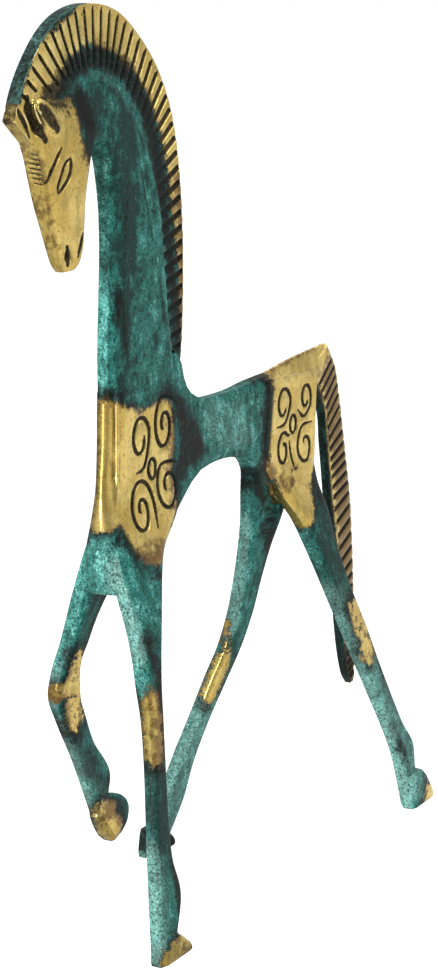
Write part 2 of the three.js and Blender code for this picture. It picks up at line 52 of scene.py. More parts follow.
# The figure's own measure is a share of its height. These two reach the sides of its box,
# so they tell where its middle plane and its chest stand in the frame.
CREST_TIP_Y = -0.397
RIGHT_HOOF_X = -0.1144
SHIFT = np.array([low[0] - RIGHT_HOOF_X * HEIGHT, low[1] - CREST_TIP_Y * HEIGHT, low[2]])

# Half thickness of the plates, and of the widest part of a hoof
CREST_HALF = 0.0078
NECK_HALF = 0.0135
CHEST_HALF = 0.0135
WAIST_HALF = 0.0122
HAUNCH_HALF = 0.0135
TAIL_HALF = 0.0065
HOOF_HALF = 0.0104
BEAD_RADIUS = 0.0088


def smooth_line(stops, steps, even=False):
    """A smooth line through all the stops: even pays no heed to how far apart they are."""
    stops = np.asarray(stops, float)
    line = []
    for place in np.linspace(0, len(stops) - 1, steps):
        i = min(int(place), len(stops) - 2)
        t = place - i
        here, there = stops[i], stops[i + 1]
        before = stops[i - 1] if i > 0 else 2 * here - there
        after = stops[i + 2] if i + 2 < len(stops) else 2 * there - here
        gaps = []
        for a, b in ((before, here), (here, there), (there, after)):
            gaps.append(1.0 if even else math.sqrt(np.linalg.norm(b - a)))
        g0, g1, g2 = gaps
        leave = ((here - before) / g0 - (there - before) / (g0 + g1) + (there - here) / g1) * g1
        arrive = ((there - here) / g1 - (after - here) / (g1 + g2) + (after - there) / g2) * g1
        point = here * (2 * t**3 - 3 * t**2 + 1) + leave * (t**3 - 2 * t**2 + t)
        line.append(point + there * (3 * t**2 - 2 * t**3) + arrive * (t**3 - t**2))
    return np.array(line)


def both_sides(left):
    """A section outline from its left half: shares of the half width, and of the half depth ahead."""
    return left + [(-across, ahead) for across, ahead in reversed(left)]


LEG_OUTLINE = both_sides([(0.55, 1), (0.94, 0.72), (1, 0.5), (1, -0.6), (0.92, -0.78), (0.55, -1)])
NECK_OUTLINE = both_sides([(0.44, 1), (0.8, 0.82), (1, 0.6), (1, -0.8), (0.7, -1)])
SLAB_OUTLINE = both_sides([(0.75, 1), (1, 0.9), (1, -0.9), (0.75, -1)])
HEAD_OUTLINE = both_sides([(0.62, 1), (0.9, 0.86), (1, 0.66), (1, -0.6), (0.9, -0.85), (0.55, -1)])
TAIL_OUTLINE = both_sides([(0.8, 1), (1, 0.85), (1, -0.75), (0.6, -1)])
BEAD_OUTLINE = both_sides([(0.26, 1), (0.5, 0.87), (0.71, 0.71), (0.87, 0.5), (0.97, 0.26), (0.97, -1)])
HOOF_OUTLINE = both_sides([(0.6, 1), (1, 0.7), (1, -0.7), (0.85, -0.88), (0.5, -1)])
ROOF_OUTLINE = both_sides([(1, 1), (0.12, -1)])
RINGS_PER_STATION = 8


def tube_faces(rings, corners):
    """The faces of a tube of rings, closed at both ends."""
    faces = [list(range(corners)), [(rings - 1) * corners + c for c in reversed(range(corners))]]
    for ring in range(rings - 1):
        for c in range(corners):
            d = (c + 1) % corners
            a, b = ring * corners, (ring + 1) * corners
            faces.append([a + c, b + c, b + d, a + d])
    return faces


def limb(stations, outline):
    """A limb through stations of [front y, front z, back y, back z, middle x, half width]."""
    table = np.array(stations)
    rings = RINGS_PER_STATION * (len(stations) - 1) + 1
    front = smooth_line(table[:, 0:2], rings)
    back = smooth_line(table[:, 2:4], rings)
    across = smooth_line(table[:, 4:6], rings, even=True)
    section = np.array(outline)
    points = np.empty((rings, len(section), 3))
    points[:, :, 0] = across[:, :1] + section[:, 0] * across[:, 1:]
    middle, reach = (front + back) / 2, (front - back) / 2
    points[:, :, 1:] = middle[:, None, :] + section[None, :, 1:] * reach[:, None, :]
    return points.reshape(-1, 3), tube_faces(rings, len(section))


def plate(outline, half):
    """A flat plate on the middle plane, from an outline of [y, z] that starts at the left."""
    points = [(side * half, y, z) for side in (1, -1) for y, z in outline]
    return np.array(points), tube_faces(2, len(outline))


def mirrored(stations):
    return [[fy, fz, by, bz, -x, half] for fy, fz, by, bz, x, half in stations]


# The crest is a plate that arches from the forelock over the poll and down to the withers
CREST_EDGE = [
    (-0.397, 0.890), (-0.383, 0.922), (-0.363, 0.950), (-0.336, 0.976), (-0.303, 0.993), (-0.262, 1.0),
    (-0.217, 0.993), (-0.177, 0.970), (-0.143, 0.939), (-0.120, 0.906), (-0.105, 0.868), (-0.096, 0.825),
    (-0.091, 0.780), (-0.089, 0.735), (-0.090, 0.687), (-0.093, 0.645), (-0.099, 0.612),
]
CREST_INSIDE = [(-0.12, 0.60), (-0.16, 0.70), (-0.17, 0.80), (-0.24, 0.88), (-0.33, 0.86), (-0.369, 0.868)]
# Rounded fillings where the neck meets the back and the belly meets the right hind leg
WITHERS = [
    (-0.115, 0.640), (-0.1005, 0.622), (-0.0955, 0.606), (-0.0890, 0.5945), (-0.0800, 0.5865),
    (-0.0680, 0.5805), (-0.0520, 0.5765), (-0.052, 0.550), (-0.115, 0.550),
]
GROIN = [
    (0.020, 0.510), (0.090, 0.510), (0.090, 0.455), (0.0735, 0.455), (0.0705, 0.4710), (0.0650, 0.4815),
    (0.056, 0.4895), (0.043, 0.4955), (0.020, 0.4995),
]

HEAD = [
    [-0.353, 0.905, -0.268, 0.905, 0, 0.0100],
    [-0.3695, 0.878, -0.259, 0.875, 0, 0.0132],
    [-0.3605, 0.852, -0.269, 0.846, 0, 0.0138],
    [-0.3480, 0.811, -0.2775, 0.811, 0, 0.0124],
    [-0.3368, 0.781, -0.278, 0.783, 0, 0.0098],
    [-0.3288, 0.761, -0.280, 0.761, 0, 0.0086],
    [-0.3220, 0.747, -0.287, 0.747, 0, 0.0074],
    [-0.3155, 0.740, -0.294, 0.741, 0, 0.0056],
]
NECK = [
    [-0.300, 0.870, -0.322, 0.905, 0, 0.0110],
    [-0.264, 0.864, -0.292, 0.926, 0, 0.0128],
    [-0.249, 0.858, -0.252, 0.933, 0, NECK_HALF],
    [-0.242, 0.845, -0.210, 0.908, 0, NECK_HALF],
    [-0.239, 0.825, -0.170, 0.862, 0, NECK_HALF],
    [-0.235, 0.795, -0.141, 0.800, 0, NECK_HALF],
    [-0.234, 0.755, -0.133, 0.745, 0, NECK_HALF],
    [-0.237, 0.700, -0.125, 0.690, 0, NECK_HALF],
    [-0.240, 0.645, -0.116, 0.640, 0, NECK_HALF],
    [-0.239, 0.595, -0.100, 0.590, 0, NECK_HALF],
    [-0.235, 0.560, -0.085, 0.560, 0, NECK_HALF],
]
CHEST = [
    [-0.228, 0.610, -0.100, 0.605, 0, CHEST_HALF],
    [-0.228, 0.575, -0.075, 0.570, 0, CHEST_HALF],
    [-0.228, 0.520, -0.048, 0.506, 0, CHEST_HALF],
    [-0.230, 0.487, -0.078, 0.486, 0, CHEST_HALF],
    [-0.232, 0.455, -0.114, 0.455, 0, 0.0120],
]
# A round bead runs down the front of the chest and widens into the facet between the forelegs
BEAD = [
    [-0.2410, 0.625, -0.226, 0.625, 0, 0.0066],
    [-0.2425, 0.600, -0.226, 0.600, 0, BEAD_RADIUS],
    [-0.2445, 0.550, -0.227, 0.550, 0, BEAD_RADIUS],
    [-0.2485, 0.508, -0.228, 0.508, 0, BEAD_RADIUS],
    [-0.2520, 0.475, -0.220, 0.475, 0, 0.0150],
    [-0.2530, 0.440, -0.215, 0.440, 0, 0.0240],
    [-0.2500, 0.397, -0.215, 0.397, 0, 0.0300],
]
FILLET = [
    [-0.2315, 0.607, -0.226, 0.607, 0.0112, 0.0014],
    [-0.2315, 0.560, -0.226, 0.560, 0.0112, 0.0014],
    [-0.2330, 0.508, -0.228, 0.508, 0.0114, 0.0014],
    [-0.2400, 0.470, -0.228, 0.470, 0.0122, 0.0014],
]
WAIST = [
    [-0.120, 0.470, -0.120, 0.590, 0, WAIST_HALF],
    [-0.080, 0.486, -0.090, 0.582, 0, WAIST_HALF],
    [-0.050, 0.495, -0.062, 0.576, 0, WAIST_HALF],
    [-0.020, 0.499, -0.025, 0.5735, 0, WAIST_HALF],
    [0.015, 0.498, 0.020, 0.574, 0, WAIST_HALF],
    [0.050, 0.490, 0.060, 0.578, 0, WAIST_HALF],
    [0.100, 0.470, 0.110, 0.581, 0, WAIST_HALF],
]
HAUNCH = [
    [0.088, 0.577, 0.220, 0.571, 0, HAUNCH_HALF],
    [0.086, 0.535, 0.217, 0.535, 0, HAUNCH_HALF],
    [0.080, 0.495, 0.215, 0.490, 0, HAUNCH_HALF],
    [0.096, 0.466, 0.213, 0.462, 0, HAUNCH_HALF],
    [0.118, 0.445, 0.208, 0.440, 0, 0.0110],
]
CROUP = [
    [0.080, 0.560, 0.085, 0.580, 0, 0.0125],
    [0.150, 0.560, 0.168, 0.5910, 0, HAUNCH_HALF],
    [0.219, 0.560, 0.256, 0.598, 0, HAUNCH_HALF],
]
SHOULDER = [
    [-0.233, 0.520, -0.097, 0.510, 0.0035, 0.0098],
    [-0.241, 0.467, -0.114, 0.465, 0.0088, 0.0106],
    [-0.247, 0.430, -0.158, 0.430, 0.0175, 0.0120],
]
LEFT_FORELEG = [
    *SHOULDER,
    [-0.248, 0.394, -0.182, 0.394, 0.0280, 0.0130],
    [-0.247, 0.365, -0.196, 0.365, 0.0362, 0.0120],
    [-0.247, 0.330, -0.210, 0.330, 0.0442, 0.0108],
    [-0.248, 0.300, -0.217, 0.300, 0.0490, 0.0100],
    [-0.247, 0.265, -0.220, 0.265, 0.0535, 0.0088],
    [-0.247, 0.220, -0.221, 0.220, 0.0565, 0.0084],
    [-0.249, 0.155, -0.220, 0.155, 0.0595, 0.0084],
    [-0.252, 0.110, -0.217, 0.110, 0.0625, 0.0086],
    [-0.255, 0.068, -0.205, 0.066, 0.0660, 0.0092],
    [-0.258, 0.036, -0.219, 0.026, 0.0695, 0.0090],
    [-0.259, 0.004, -0.226, 0.004, 0.0720, 0.0090],
]
RIGHT_FORELEG = [
    *mirrored(SHOULDER),
    [-0.250, 0.394, -0.193, 0.394, -0.0270, 0.0122],
    [-0.251, 0.365, -0.210, 0.365, -0.0345, 0.0114],
    [-0.256, 0.335, -0.220, 0.335, -0.0410, 0.0106],
    [-0.264, 0.312, -0.227, 0.312, -0.0455, 0.0100],
    [-0.269, 0.284, -0.222, 0.272, -0.0490, 0.0098],
    [-0.250, 0.246, -0.210, 0.250, -0.0515, 0.0090],
    [-0.220, 0.198, -0.190, 0.212, -0.0540, 0.0088],
    [-0.194, 0.150, -0.155, 0.166, -0.0560, 0.0092],
    [-0.176, 0.116, -0.158, 0.140, -0.0575, 0.0088],
    [-0.160, 0.088, -0.144, 0.114, -0.0590, 0.0088],
]
RIGHT_HIND_LEG = [
    [0.066, 0.490, 0.185, 0.480, -0.0035, 0.0098],
    [0.074, 0.448, 0.180, 0.436, -0.0085, 0.0110],
    [0.086, 0.405, 0.166, 0.400, -0.0150, 0.0120],
    [0.095, 0.365, 0.155, 0.365, -0.0240, 0.0116],
    [0.101, 0.325, 0.148, 0.325, -0.0330, 0.0110],
    [0.102, 0.285, 0.142, 0.280, -0.0420, 0.0105],
    [0.094, 0.245, 0.131, 0.240, -0.0510, 0.0100],
    [0.078, 0.212, 0.110, 0.202, -0.0590, 0.0097],
    [0.058, 0.166, 0.083, 0.155, -0.0690, 0.0095],
    [0.036, 0.121, 0.064, 0.106, -0.0790, 0.0094],
    [0.019, 0.076, 0.058, 0.064, -0.0880, 0.0096],
    [0.012, 0.040, 0.046, 0.030, -0.0960, 0.0092],
    [0.003, 0.004, 0.037, 0.004, -0.1040, 0.0092],
]
LEFT_HIND_LEG = [
    [0.095, 0.480, 0.208, 0.480, 0.0035, 0.0098],
    [0.122, 0.436, 0.213, 0.436, 0.0095, 0.0110],
    [0.147, 0.402, 0.219, 0.402, 0.0200, 0.0120],
    [0.174, 0.350, 0.226, 0.350, 0.0310, 0.0118],
    [0.199, 0.295, 0.244, 0.295, 0.0420, 0.0112],
    [0.219, 0.250, 0.264, 0.250, 0.0510, 0.0107],
    [0.243, 0.200, 0.286, 0.196, 0.0600, 0.0102],
    [0.265, 0.154, 0.307, 0.146, 0.0690, 0.0100],
    [0.283, 0.115, 0.324, 0.108, 0.0765, 0.0098],
    [0.298, 0.076, 0.340, 0.080, 0.0835, 0.0100],
    [0.304, 0.046, 0.337, 0.046, 0.0890, 0.0096],
    [0.307, 0.004, 0.340, 0.004, 0.0970, 0.0096],
]
RAISED_HOOF = [
    [-0.181, 0.120, -0.146, 0.136, -0.0570, 0.0080],
    [-0.175, 0.110, -0.129, 0.130, -0.0575, 0.0094],
    [-0.167, 0.098, -0.116, 0.117, -0.0580, HOOF_HALF],
    [-0.157, 0.087, -0.118, 0.100, -0.0585, HOOF_HALF],
    [-0.149, 0.080, -0.129, 0.087, -0.0590, 0.0085],
]
TAIL = [
    [0.205, 0.570, 0.254, 0.597, 0, 0.0085],
    [0.222, 0.545, 0.277, 0.568, 0, 0.0078],
    [0.246, 0.515, 0.291, 0.530, 0, TAIL_HALF],
    [0.253, 0.475, 0.304, 0.480, 0, TAIL_HALF],
    [0.260, 0.437, 0.315, 0.437, 0, TAIL_HALF],
    [0.267, 0.398, 0.325, 0.395, 0, TAIL_HALF],
    [0.282, 0.345, 0.332, 0.340, 0, TAIL_HALF],
    [0.290, 0.290, 0.337, 0.286, 0, TAIL_HALF],
    [0.298, 0.240, 0.340, 0.236, 0, TAIL_HALF],
    [0.308, 0.195, 0.342, 0.190, 0, 0.0062],
    [0.321, 0.160, 0.343, 0.158, 0, 0.0056],
    [0.332, 0.146, 0.341, 0.147, 0, 0.0042],
]

# A standing hoof: [toe, heel, share of its height, half width]
HOOF = [
    [0.004, 0.030, 1.0, 0.0078],
    [0.002, 0.041, 0.80, 0.0094],
    [0.000, 0.054, 0.45, HOOF_HALF],
    [-0.001, 0.063, 0.20, HOOF_HALF],
    [0.000, 0.0660, 0.0, 0.0098],
]
# Where each stands: its toe's y, its middle's x, and its height
LEFT_FORE_HOOF = (-0.259, 0.0725, 0.030)
RIGHT_HIND_HOOF = (-0.002, -0.1040, 0.034)
LEFT_HIND_HOOF = (0.308, 0.0985, 0.046)


def hoof(toe, x, height):
    stations = [[toe + f, rise * height, toe + b, rise * height, x, half] for f, b, rise, half in HOOF]
    return limb(stations, HOOF_OUTLINE)


# The ears are leaves that lie forward along the head
EAR_CENTRE = (0.0112, -0.3475, 0.8915)
EAR_RADII = (0.0064, 0.0125, 0.0270)
EAR_LEAN = 0.88
EAR_RINGS, EAR_CORNERS = 15, 18
EAR_POLE = 0.99


def ear(side):
    """A flattened ball that leans forward, on the left side for 1 and the right side for -1."""
    turn = np.linspace(0, 2 * math.pi, EAR_CORNERS, endpoint=False)
    up = np.linspace(-EAR_POLE, EAR_POLE, EAR_RINGS)[:, None]
    wide = np.sqrt(1 - up**2)
    points = np.empty((EAR_RINGS, EAR_CORNERS, 3))
    points[:, :, 0] = side * (EAR_CENTRE[0] + wide * np.cos(turn) * EAR_RADII[0])
    ahead, rise = wide * np.sin(turn) * EAR_RADII[1], up * EAR_RADII[2]
    points[:, :, 1] = EAR_CENTRE[1] + ahead * math.cos(EAR_LEAN) - rise * math.sin(EAR_LEAN)
    points[:, :, 2] = EAR_CENTRE[2] + ahead * math.sin(EAR_LEAN) + rise * math.cos(EAR_LEAN)
    return points.reshape(-1, 3), tube_faces(EAR_RINGS, EAR_CORNERS)


RIM_POINTS_PER_STOP = 8
crest_rim = smooth_line(CREST_EDGE, RIM_POINTS_PER_STOP * (len(CREST_EDGE) - 1) + 1, even=True)
blocks = [
    plate([*map(tuple, crest_rim), *CREST_INSIDE], CREST_HALF),
    plate(WITHERS, WAIST_HALF),
    plate(GROIN, WAIST_HALF),
    limb(HEAD, HEAD_OUTLINE),
    limb(NECK, NECK_OUTLINE),
    limb(CHEST, SLAB_OUTLINE),
    limb(BEAD, BEAD_OUTLINE),
    limb(FILLET, SLAB_OUTLINE),
    limb(mirrored(FILLET), SLAB_OUTLINE),
    limb(WAIST, LEG_OUTLINE),
    limb(HAUNCH, SLAB_OUTLINE),
    limb(CROUP, ROOF_OUTLINE),
    limb(LEFT_FORELEG, LEG_OUTLINE),
    limb(RIGHT_FORELEG, LEG_OUTLINE),
    limb(RIGHT_HIND_LEG, LEG_OUTLINE),
    limb(LEFT_HIND_LEG, LEG_OUTLINE),
    limb(TAIL, TAIL_OUTLINE),
    hoof(*LEFT_FORE_HOOF),
    hoof(*RIGHT_HIND_HOOF),
    hoof(*LEFT_HIND_HOOF),
    limb(RAISED_HOOF, HOOF_OUTLINE),
    ear(1),
    ear(-1),
]


def mesh_object(name, points, faces):
    mesh = bpy.data.meshes.new(name)
    mesh.from_pydata(np.asarray(points).tolist(), [], faces)
    mesh.update()
    made = bpy.data.objects.new(name, mesh)
    bpy.context.scene.collection.objects.link(made)
    return made


def joined(name, shapes):
    """One object from several closed shapes, given in shares of the figure's height."""
    points, faces = [], []
    for shape_points, shape_faces in shapes:
        faces.extend([[len(points) + v for v in face] for face in shape_faces])
        points.extend(shape_points * HEIGHT + SHIFT)
    return mesh_object(name, points, faces)


def baked(thing):
    """Carries out the object's modifiers and removes them."""
    graph = bpy.context.evaluated_depsgraph_get()
    mesh = bpy.data.meshes.new_from_object(thing.evaluated_get(graph))
    thing.modifiers.clear()
    thing.data = mesh


# All the blocks run together as poured metal does, and the edges are eased
GRAIN = 0.00034
EASING = 3
horse = joined("casting", blocks)
fuse = horse.modifiers.new("fuse", "REMESH")
fuse.mode = "VOXEL"
fuse.voxel_size = GRAIN
fuse.use_smooth_shade = True
ease = horse.modifiers.new("ease", "SMOOTH")
ease.factor = 0.5
ease.iterations = EASING
baked(horse)

# The chasing
# Combs, rope, scrolls and face are lines cut into the cold metal with a broad-edged graver,
# so a line is wide where it runs up and down and narrow where it runs across.

POINT_GAP = 0.0006
FEWEST_POINTS = 5
SHALLOWEST_END = 0.3
# How far a point is from a line is measured as seen from the side, or nearly from the front
FLAT_TO_FLANK = np.array([0.0, 1.0, 1.0])
FLAT_TO_FACE = np.array([1.0, 0.15, 1.0])
# The graver bites where the surface faces it by the second share, and slips off below the first
SLIPS_OFF, BITES = 0.4, 0.75


def stroke(stops, upright, level, depth, ends=0.0):
    """Close points along a line: [x, y, z, half width, depth]. Ends is the share that runs out."""
    stops = np.asarray(stops, float)
    if stops.shape[1] == 2:
        stops = np.column_stack([np.zeros(len(stops)), stops])
    length = np.linalg.norm(np.diff(stops, axis=0), axis=1).sum()
    line = smooth_line(stops, max(FEWEST_POINTS, int(length / POINT_GAP)))
    run = np.gradient(line, axis=0)
    steep = np.abs(run[:, 2]) / np.maximum(np.linalg.norm(run, axis=1), 1e-9)
    share = np.linspace(0, 1, len(line))
    fade = np.clip(np.minimum(share, 1 - share) / max(ends, 1e-6), SHALLOWEST_END, 1)
    half_width = (level + (upright - level) * steep) * fade**0.5
    return np.column_stack([line, half_width, depth * fade])


# The comb: even cuts square to the rim, short above the ear and long over the head, leaning more and
# more down the neck, where they are only as long as the crest is wide
COMB_CUTS = 39
COMB_START, COMB_END = 0.042, 0.955
COMB_LEAN_START, COMB_LEAN_RATE, COMB_LEAN_MOST = 0.25, 60.0, 17.0
COMB_LENGTHS = [
    (0.04, 0.014), (0.07, 0.024), (0.09, 0.045), (0.15, 0.058), (0.3, 0.062), (0.5, 0.056), (0.62, 0.052),
    (0.75, 0.047), (0.88, 0.036), (1, 0.018),
]
COMB_HALF_WIDTHS = [(0, 0.0030), (0.3, 0.0033), (0.5, 0.0045), (0.7, 0.0054), (1, 0.0050)]
COMB_INSET, COMB_DEPTH, COMB_RUN_OUT = 0.0035, 0.0036, 0.06
COMB_STEP = 0.01

rim_steps = np.linalg.norm(np.diff(crest_rim, axis=0), axis=1)
rim_length = np.concatenate([[0], np.cumsum(rim_steps)])


def on_rim(share):
    at = share * rim_length[-1]
    return np.array([np.interp(at, rim_length, crest_rim[:, k]) for k in (0, 1)])


flank_cuts = []
for i in range(COMB_CUTS):
    share = COMB_START + (COMB_END - COMB_START) * i / (COMB_CUTS - 1)
    heading = on_rim(share + COMB_STEP) - on_rim(share - COMB_STEP)
    heading /= np.linalg.norm(heading)
    lean = math.radians(min(COMB_LEAN_MOST, max(0, (share - COMB_LEAN_START) * COMB_LEAN_RATE)))
    square = np.array([heading[1], -heading[0]])
    inward = square * math.cos(lean) + heading * math.sin(lean)
    inset = COMB_INSET if share < 0.5 else 0
    length = np.interp(share, *zip(*COMB_LENGTHS))
    half_width = np.interp(share, *zip(*COMB_HALF_WIDTHS))
    line = [on_rim(share) + inward * inset, on_rim(share) + inward * length]
    flank_cuts.append(stroke(line, half_width, half_width, COMB_DEPTH, COMB_RUN_OUT))

# The rope down the tail: each cut goes across it, from a little behind its front and out at the back
ROPE_CUTS = 29
ROPE_START, ROPE_END, ROPE_RISE = 0.10, 0.93, 0.045
ROPE_FROM, ROPE_TO = 0.14, 1.12
ROPE_HALF_WIDTH, ROPE_DEPTH = 0.0046, 0.0036
TAIL_STEPS = 199
tail_front = smooth_line([row[0:2] for row in TAIL], TAIL_STEPS + 1)
tail_back = smooth_line([row[2:4] for row in TAIL], TAIL_STEPS + 1)
for i in range(ROPE_CUTS):
    share = ROPE_START + (ROPE_END - ROPE_START) * i / (ROPE_CUTS - 1)
    lower = tail_front[int(share * TAIL_STEPS)]
    upper = tail_back[int(max(0, share - ROPE_RISE) * TAIL_STEPS)]
    line = [lower + (upper - lower) * ROPE_FROM, lower + (upper - lower) * ROPE_TO]
    flank_cuts.append(stroke(line, ROPE_HALF_WIDTH, ROPE_HALF_WIDTH, ROPE_DEPTH))

# Scrolls: [centre y, centre z, half width, half height, first and last angle, last share, lead-in]
SCROLL_UPRIGHT, SCROLL_LEVEL, SCROLL_DEPTH, SCROLL_RUN_OUT = 0.0046, 0.0028, 0.0030, 0.04
SCROLLS = [
    [-0.1877, 0.5527, 0.0182, 0.0259, 12, 370, 0.41, [(-0.1963, 0.5175), (-0.1808, 0.5212)]],
    [-0.1397, 0.5608, 0.0199, 0.0314, 105, 588, 0.17, [(-0.1135, 0.5793), (-0.1277, 0.5898)]],
    [-0.1918, 0.4776, 0.0235, 0.0337, 28, 562, 0.14, [(-0.1672, 0.4550), (-0.1659, 0.4755)]],
    [-0.1339, 0.4933, 0.0244, 0.0293, 123, 561, 0.28, [(-0.1142, 0.5161), (-0.1283, 0.5195)]],
    [0.1290, 0.5401, 0.0177, 0.0238, 11, 329, 0.33, [(0.1121, 0.5168), (0.1330, 0.5190)]],
    [0.1845, 0.5421, 0.0139, 0.0190, -43, 326, 0.40, [(0.1641, 0.5302), (0.1795, 0.5205)]],
    [0.1290, 0.4870, 0.0155, 0.0225, 50, 470, 0.30, [(0.1444, 0.5032)]],
    [0.1835, 0.4845, 0.0215, 0.0262, 105, 500, 0.28, [(0.2002, 0.5112)]],
]
RINGS = [(-0.1646, 0.5174, 0.0072, 0.0105), (0.1528, 0.5150, 0.0072, 0.0105)]
HAUNCH_STEM = [(0.1425, 0.4960), (0.1475, 0.4790), (0.1525, 0.4620)]
STEM_UPRIGHT, STEM_RUN_OUT = 0.00368, 0.2
DEGREES_PER_STOP = 25


def scroll(cy, cz, wide, tall, first, last, end_share, lead):
    """A line that comes in along its lead and winds up towards the centre."""
    stops = list(lead)
    steps = round((last - first) / DEGREES_PER_STOP)
    for i in range(steps + 1):
        angle = math.radians(first + (last - first) * i / steps)
        reach = 1 + (end_share - 1) * i / steps
        stops.append((cy + wide * reach * math.cos(angle), cz + tall * reach * math.sin(angle)))
    return stops


for row in SCROLLS:
    flank_cuts.append(stroke(scroll(*row), SCROLL_UPRIGHT, SCROLL_LEVEL, SCROLL_DEPTH, SCROLL_RUN_OUT))
for row in RINGS:
    flank_cuts.append(stroke(scroll(*row, 0, 360, 1, []), SCROLL_UPRIGHT, SCROLL_LEVEL, SCROLL_DEPTH))
flank_cuts.append(stroke(HAUNCH_STEM, STEM_UPRIGHT, SCROLL_LEVEL, SCROLL_DEPTH, STEM_RUN_OUT))

# The face. The ear's cuts lie close to the comb's, so they are kept apart and pressed in by themselves
BROW = [(-0.3280, 0.8627), (-0.3351, 0.8535), (-0.3440, 0.8426), (-0.3511, 0.8306)]
BACK_LID = [(-0.3126, 0.8523), (-0.3111, 0.8445), (-0.3148, 0.8341), (-0.3238, 0.8250), (-0.3330, 0.8195)]
FRONT_LID = [(-0.3126, 0.8523), (-0.3215, 0.8470), (-0.3278, 0.8368), (-0.3332, 0.8266), (-0.3345, 0.8205)]
NOSTRIL = [(-0.3130, 0.7650), (-0.3108, 0.7565), (-0.3103, 0.7480)]
MOUTH = [(-0.2845, 0.7760), (-0.2885, 0.7640), (-0.2930, 0.7540)]
CASTING_PIT = [(-0.2804, 0.9894), (-0.2800, 0.9886)]
EAR_HOLLOW = [(-0.3625, 0.9030), (-0.3560, 0.8985), (-0.3480, 0.8915), (-0.3370, 0.8805)]
EAR_GROOVE = [(-0.3755, 0.9112), (-0.3735, 0.9000), (-0.3650, 0.8865), (-0.3540, 0.8716)]
FORELOCK = [(-0.3950, 0.9050), (-0.3882, 0.8970), (-0.3800, 0.8875), (-0.3735, 0.8750)]
ear_cuts = []
for cuts, stops, upright, level, depth, ends in (
    (flank_cuts, BROW, 0.0038, 0.0028, 0.0026, 0.25),
    (flank_cuts, BACK_LID, 0.0042, 0.0028, 0.0028, 0.15),
    (flank_cuts, FRONT_LID, 0.0034, 0.0022, 0.0022, 0.15),
    (flank_cuts, NOSTRIL, 0.0076, 0.0052, 0.0060, 0.35),
    (flank_cuts, MOUTH, 0.0044, 0.0032, 0.0028, 0.2),
    (flank_cuts, CASTING_PIT, 0.0022, 0.0022, 0.0020, 0),
    (ear_cuts, EAR_HOLLOW, 0.0112, 0.0105, 0.0045, 0.25),
    (ear_cuts, EAR_GROOVE, 0.0104, 0.0098, 0.0050, 0.25),
    (ear_cuts, FORELOCK, 0.0044, 0.0036, 0.0030, 0.3),
):
    cuts.append(stroke(stops, upright, level, depth, ends))

# Hatching across the front of the head, between the brows
HATCH_CUTS = 9
HATCH_TOP, HATCH_GAP = 0.8690, 0.0048
HATCH_LEFT, HATCH_RIGHT, HATCH_DROP = 0.0125, -0.0050, 0.0026
HATCH_HALF_WIDTH, HATCH_DEPTH, HATCH_RUN_OUT = 0.0015, 0.0011, 0.3
HATCH_FRONT_Y = -0.358
face_cuts = []
for i in range(HATCH_CUTS):
    z = HATCH_TOP - HATCH_GAP * i
    line = [(HATCH_RIGHT, HATCH_FRONT_Y, z), (HATCH_LEFT, HATCH_FRONT_Y, z - HATCH_DROP)]
    face_cuts.append(stroke(line, HATCH_HALF_WIDTH, HATCH_HALF_WIDTH, HATCH_DEPTH, HATCH_RUN_OUT))


def cut_lines(name, strokes, flatten):
    """The strokes as an object of loose points, flattened, with their width and depth in metres."""
    rows = np.concatenate(strokes)
    made = mesh_object(name, (rows[:, :3] * HEIGHT + SHIFT) * flatten, [])
    for key, column in (("half_width", 3), ("depth", 4)):
        values = made.data.attributes.new(key, "FLOAT", "POINT")
        values.data.foreach_set("value", (rows[:, column] * HEIGHT).astype(np.float32))
    return made


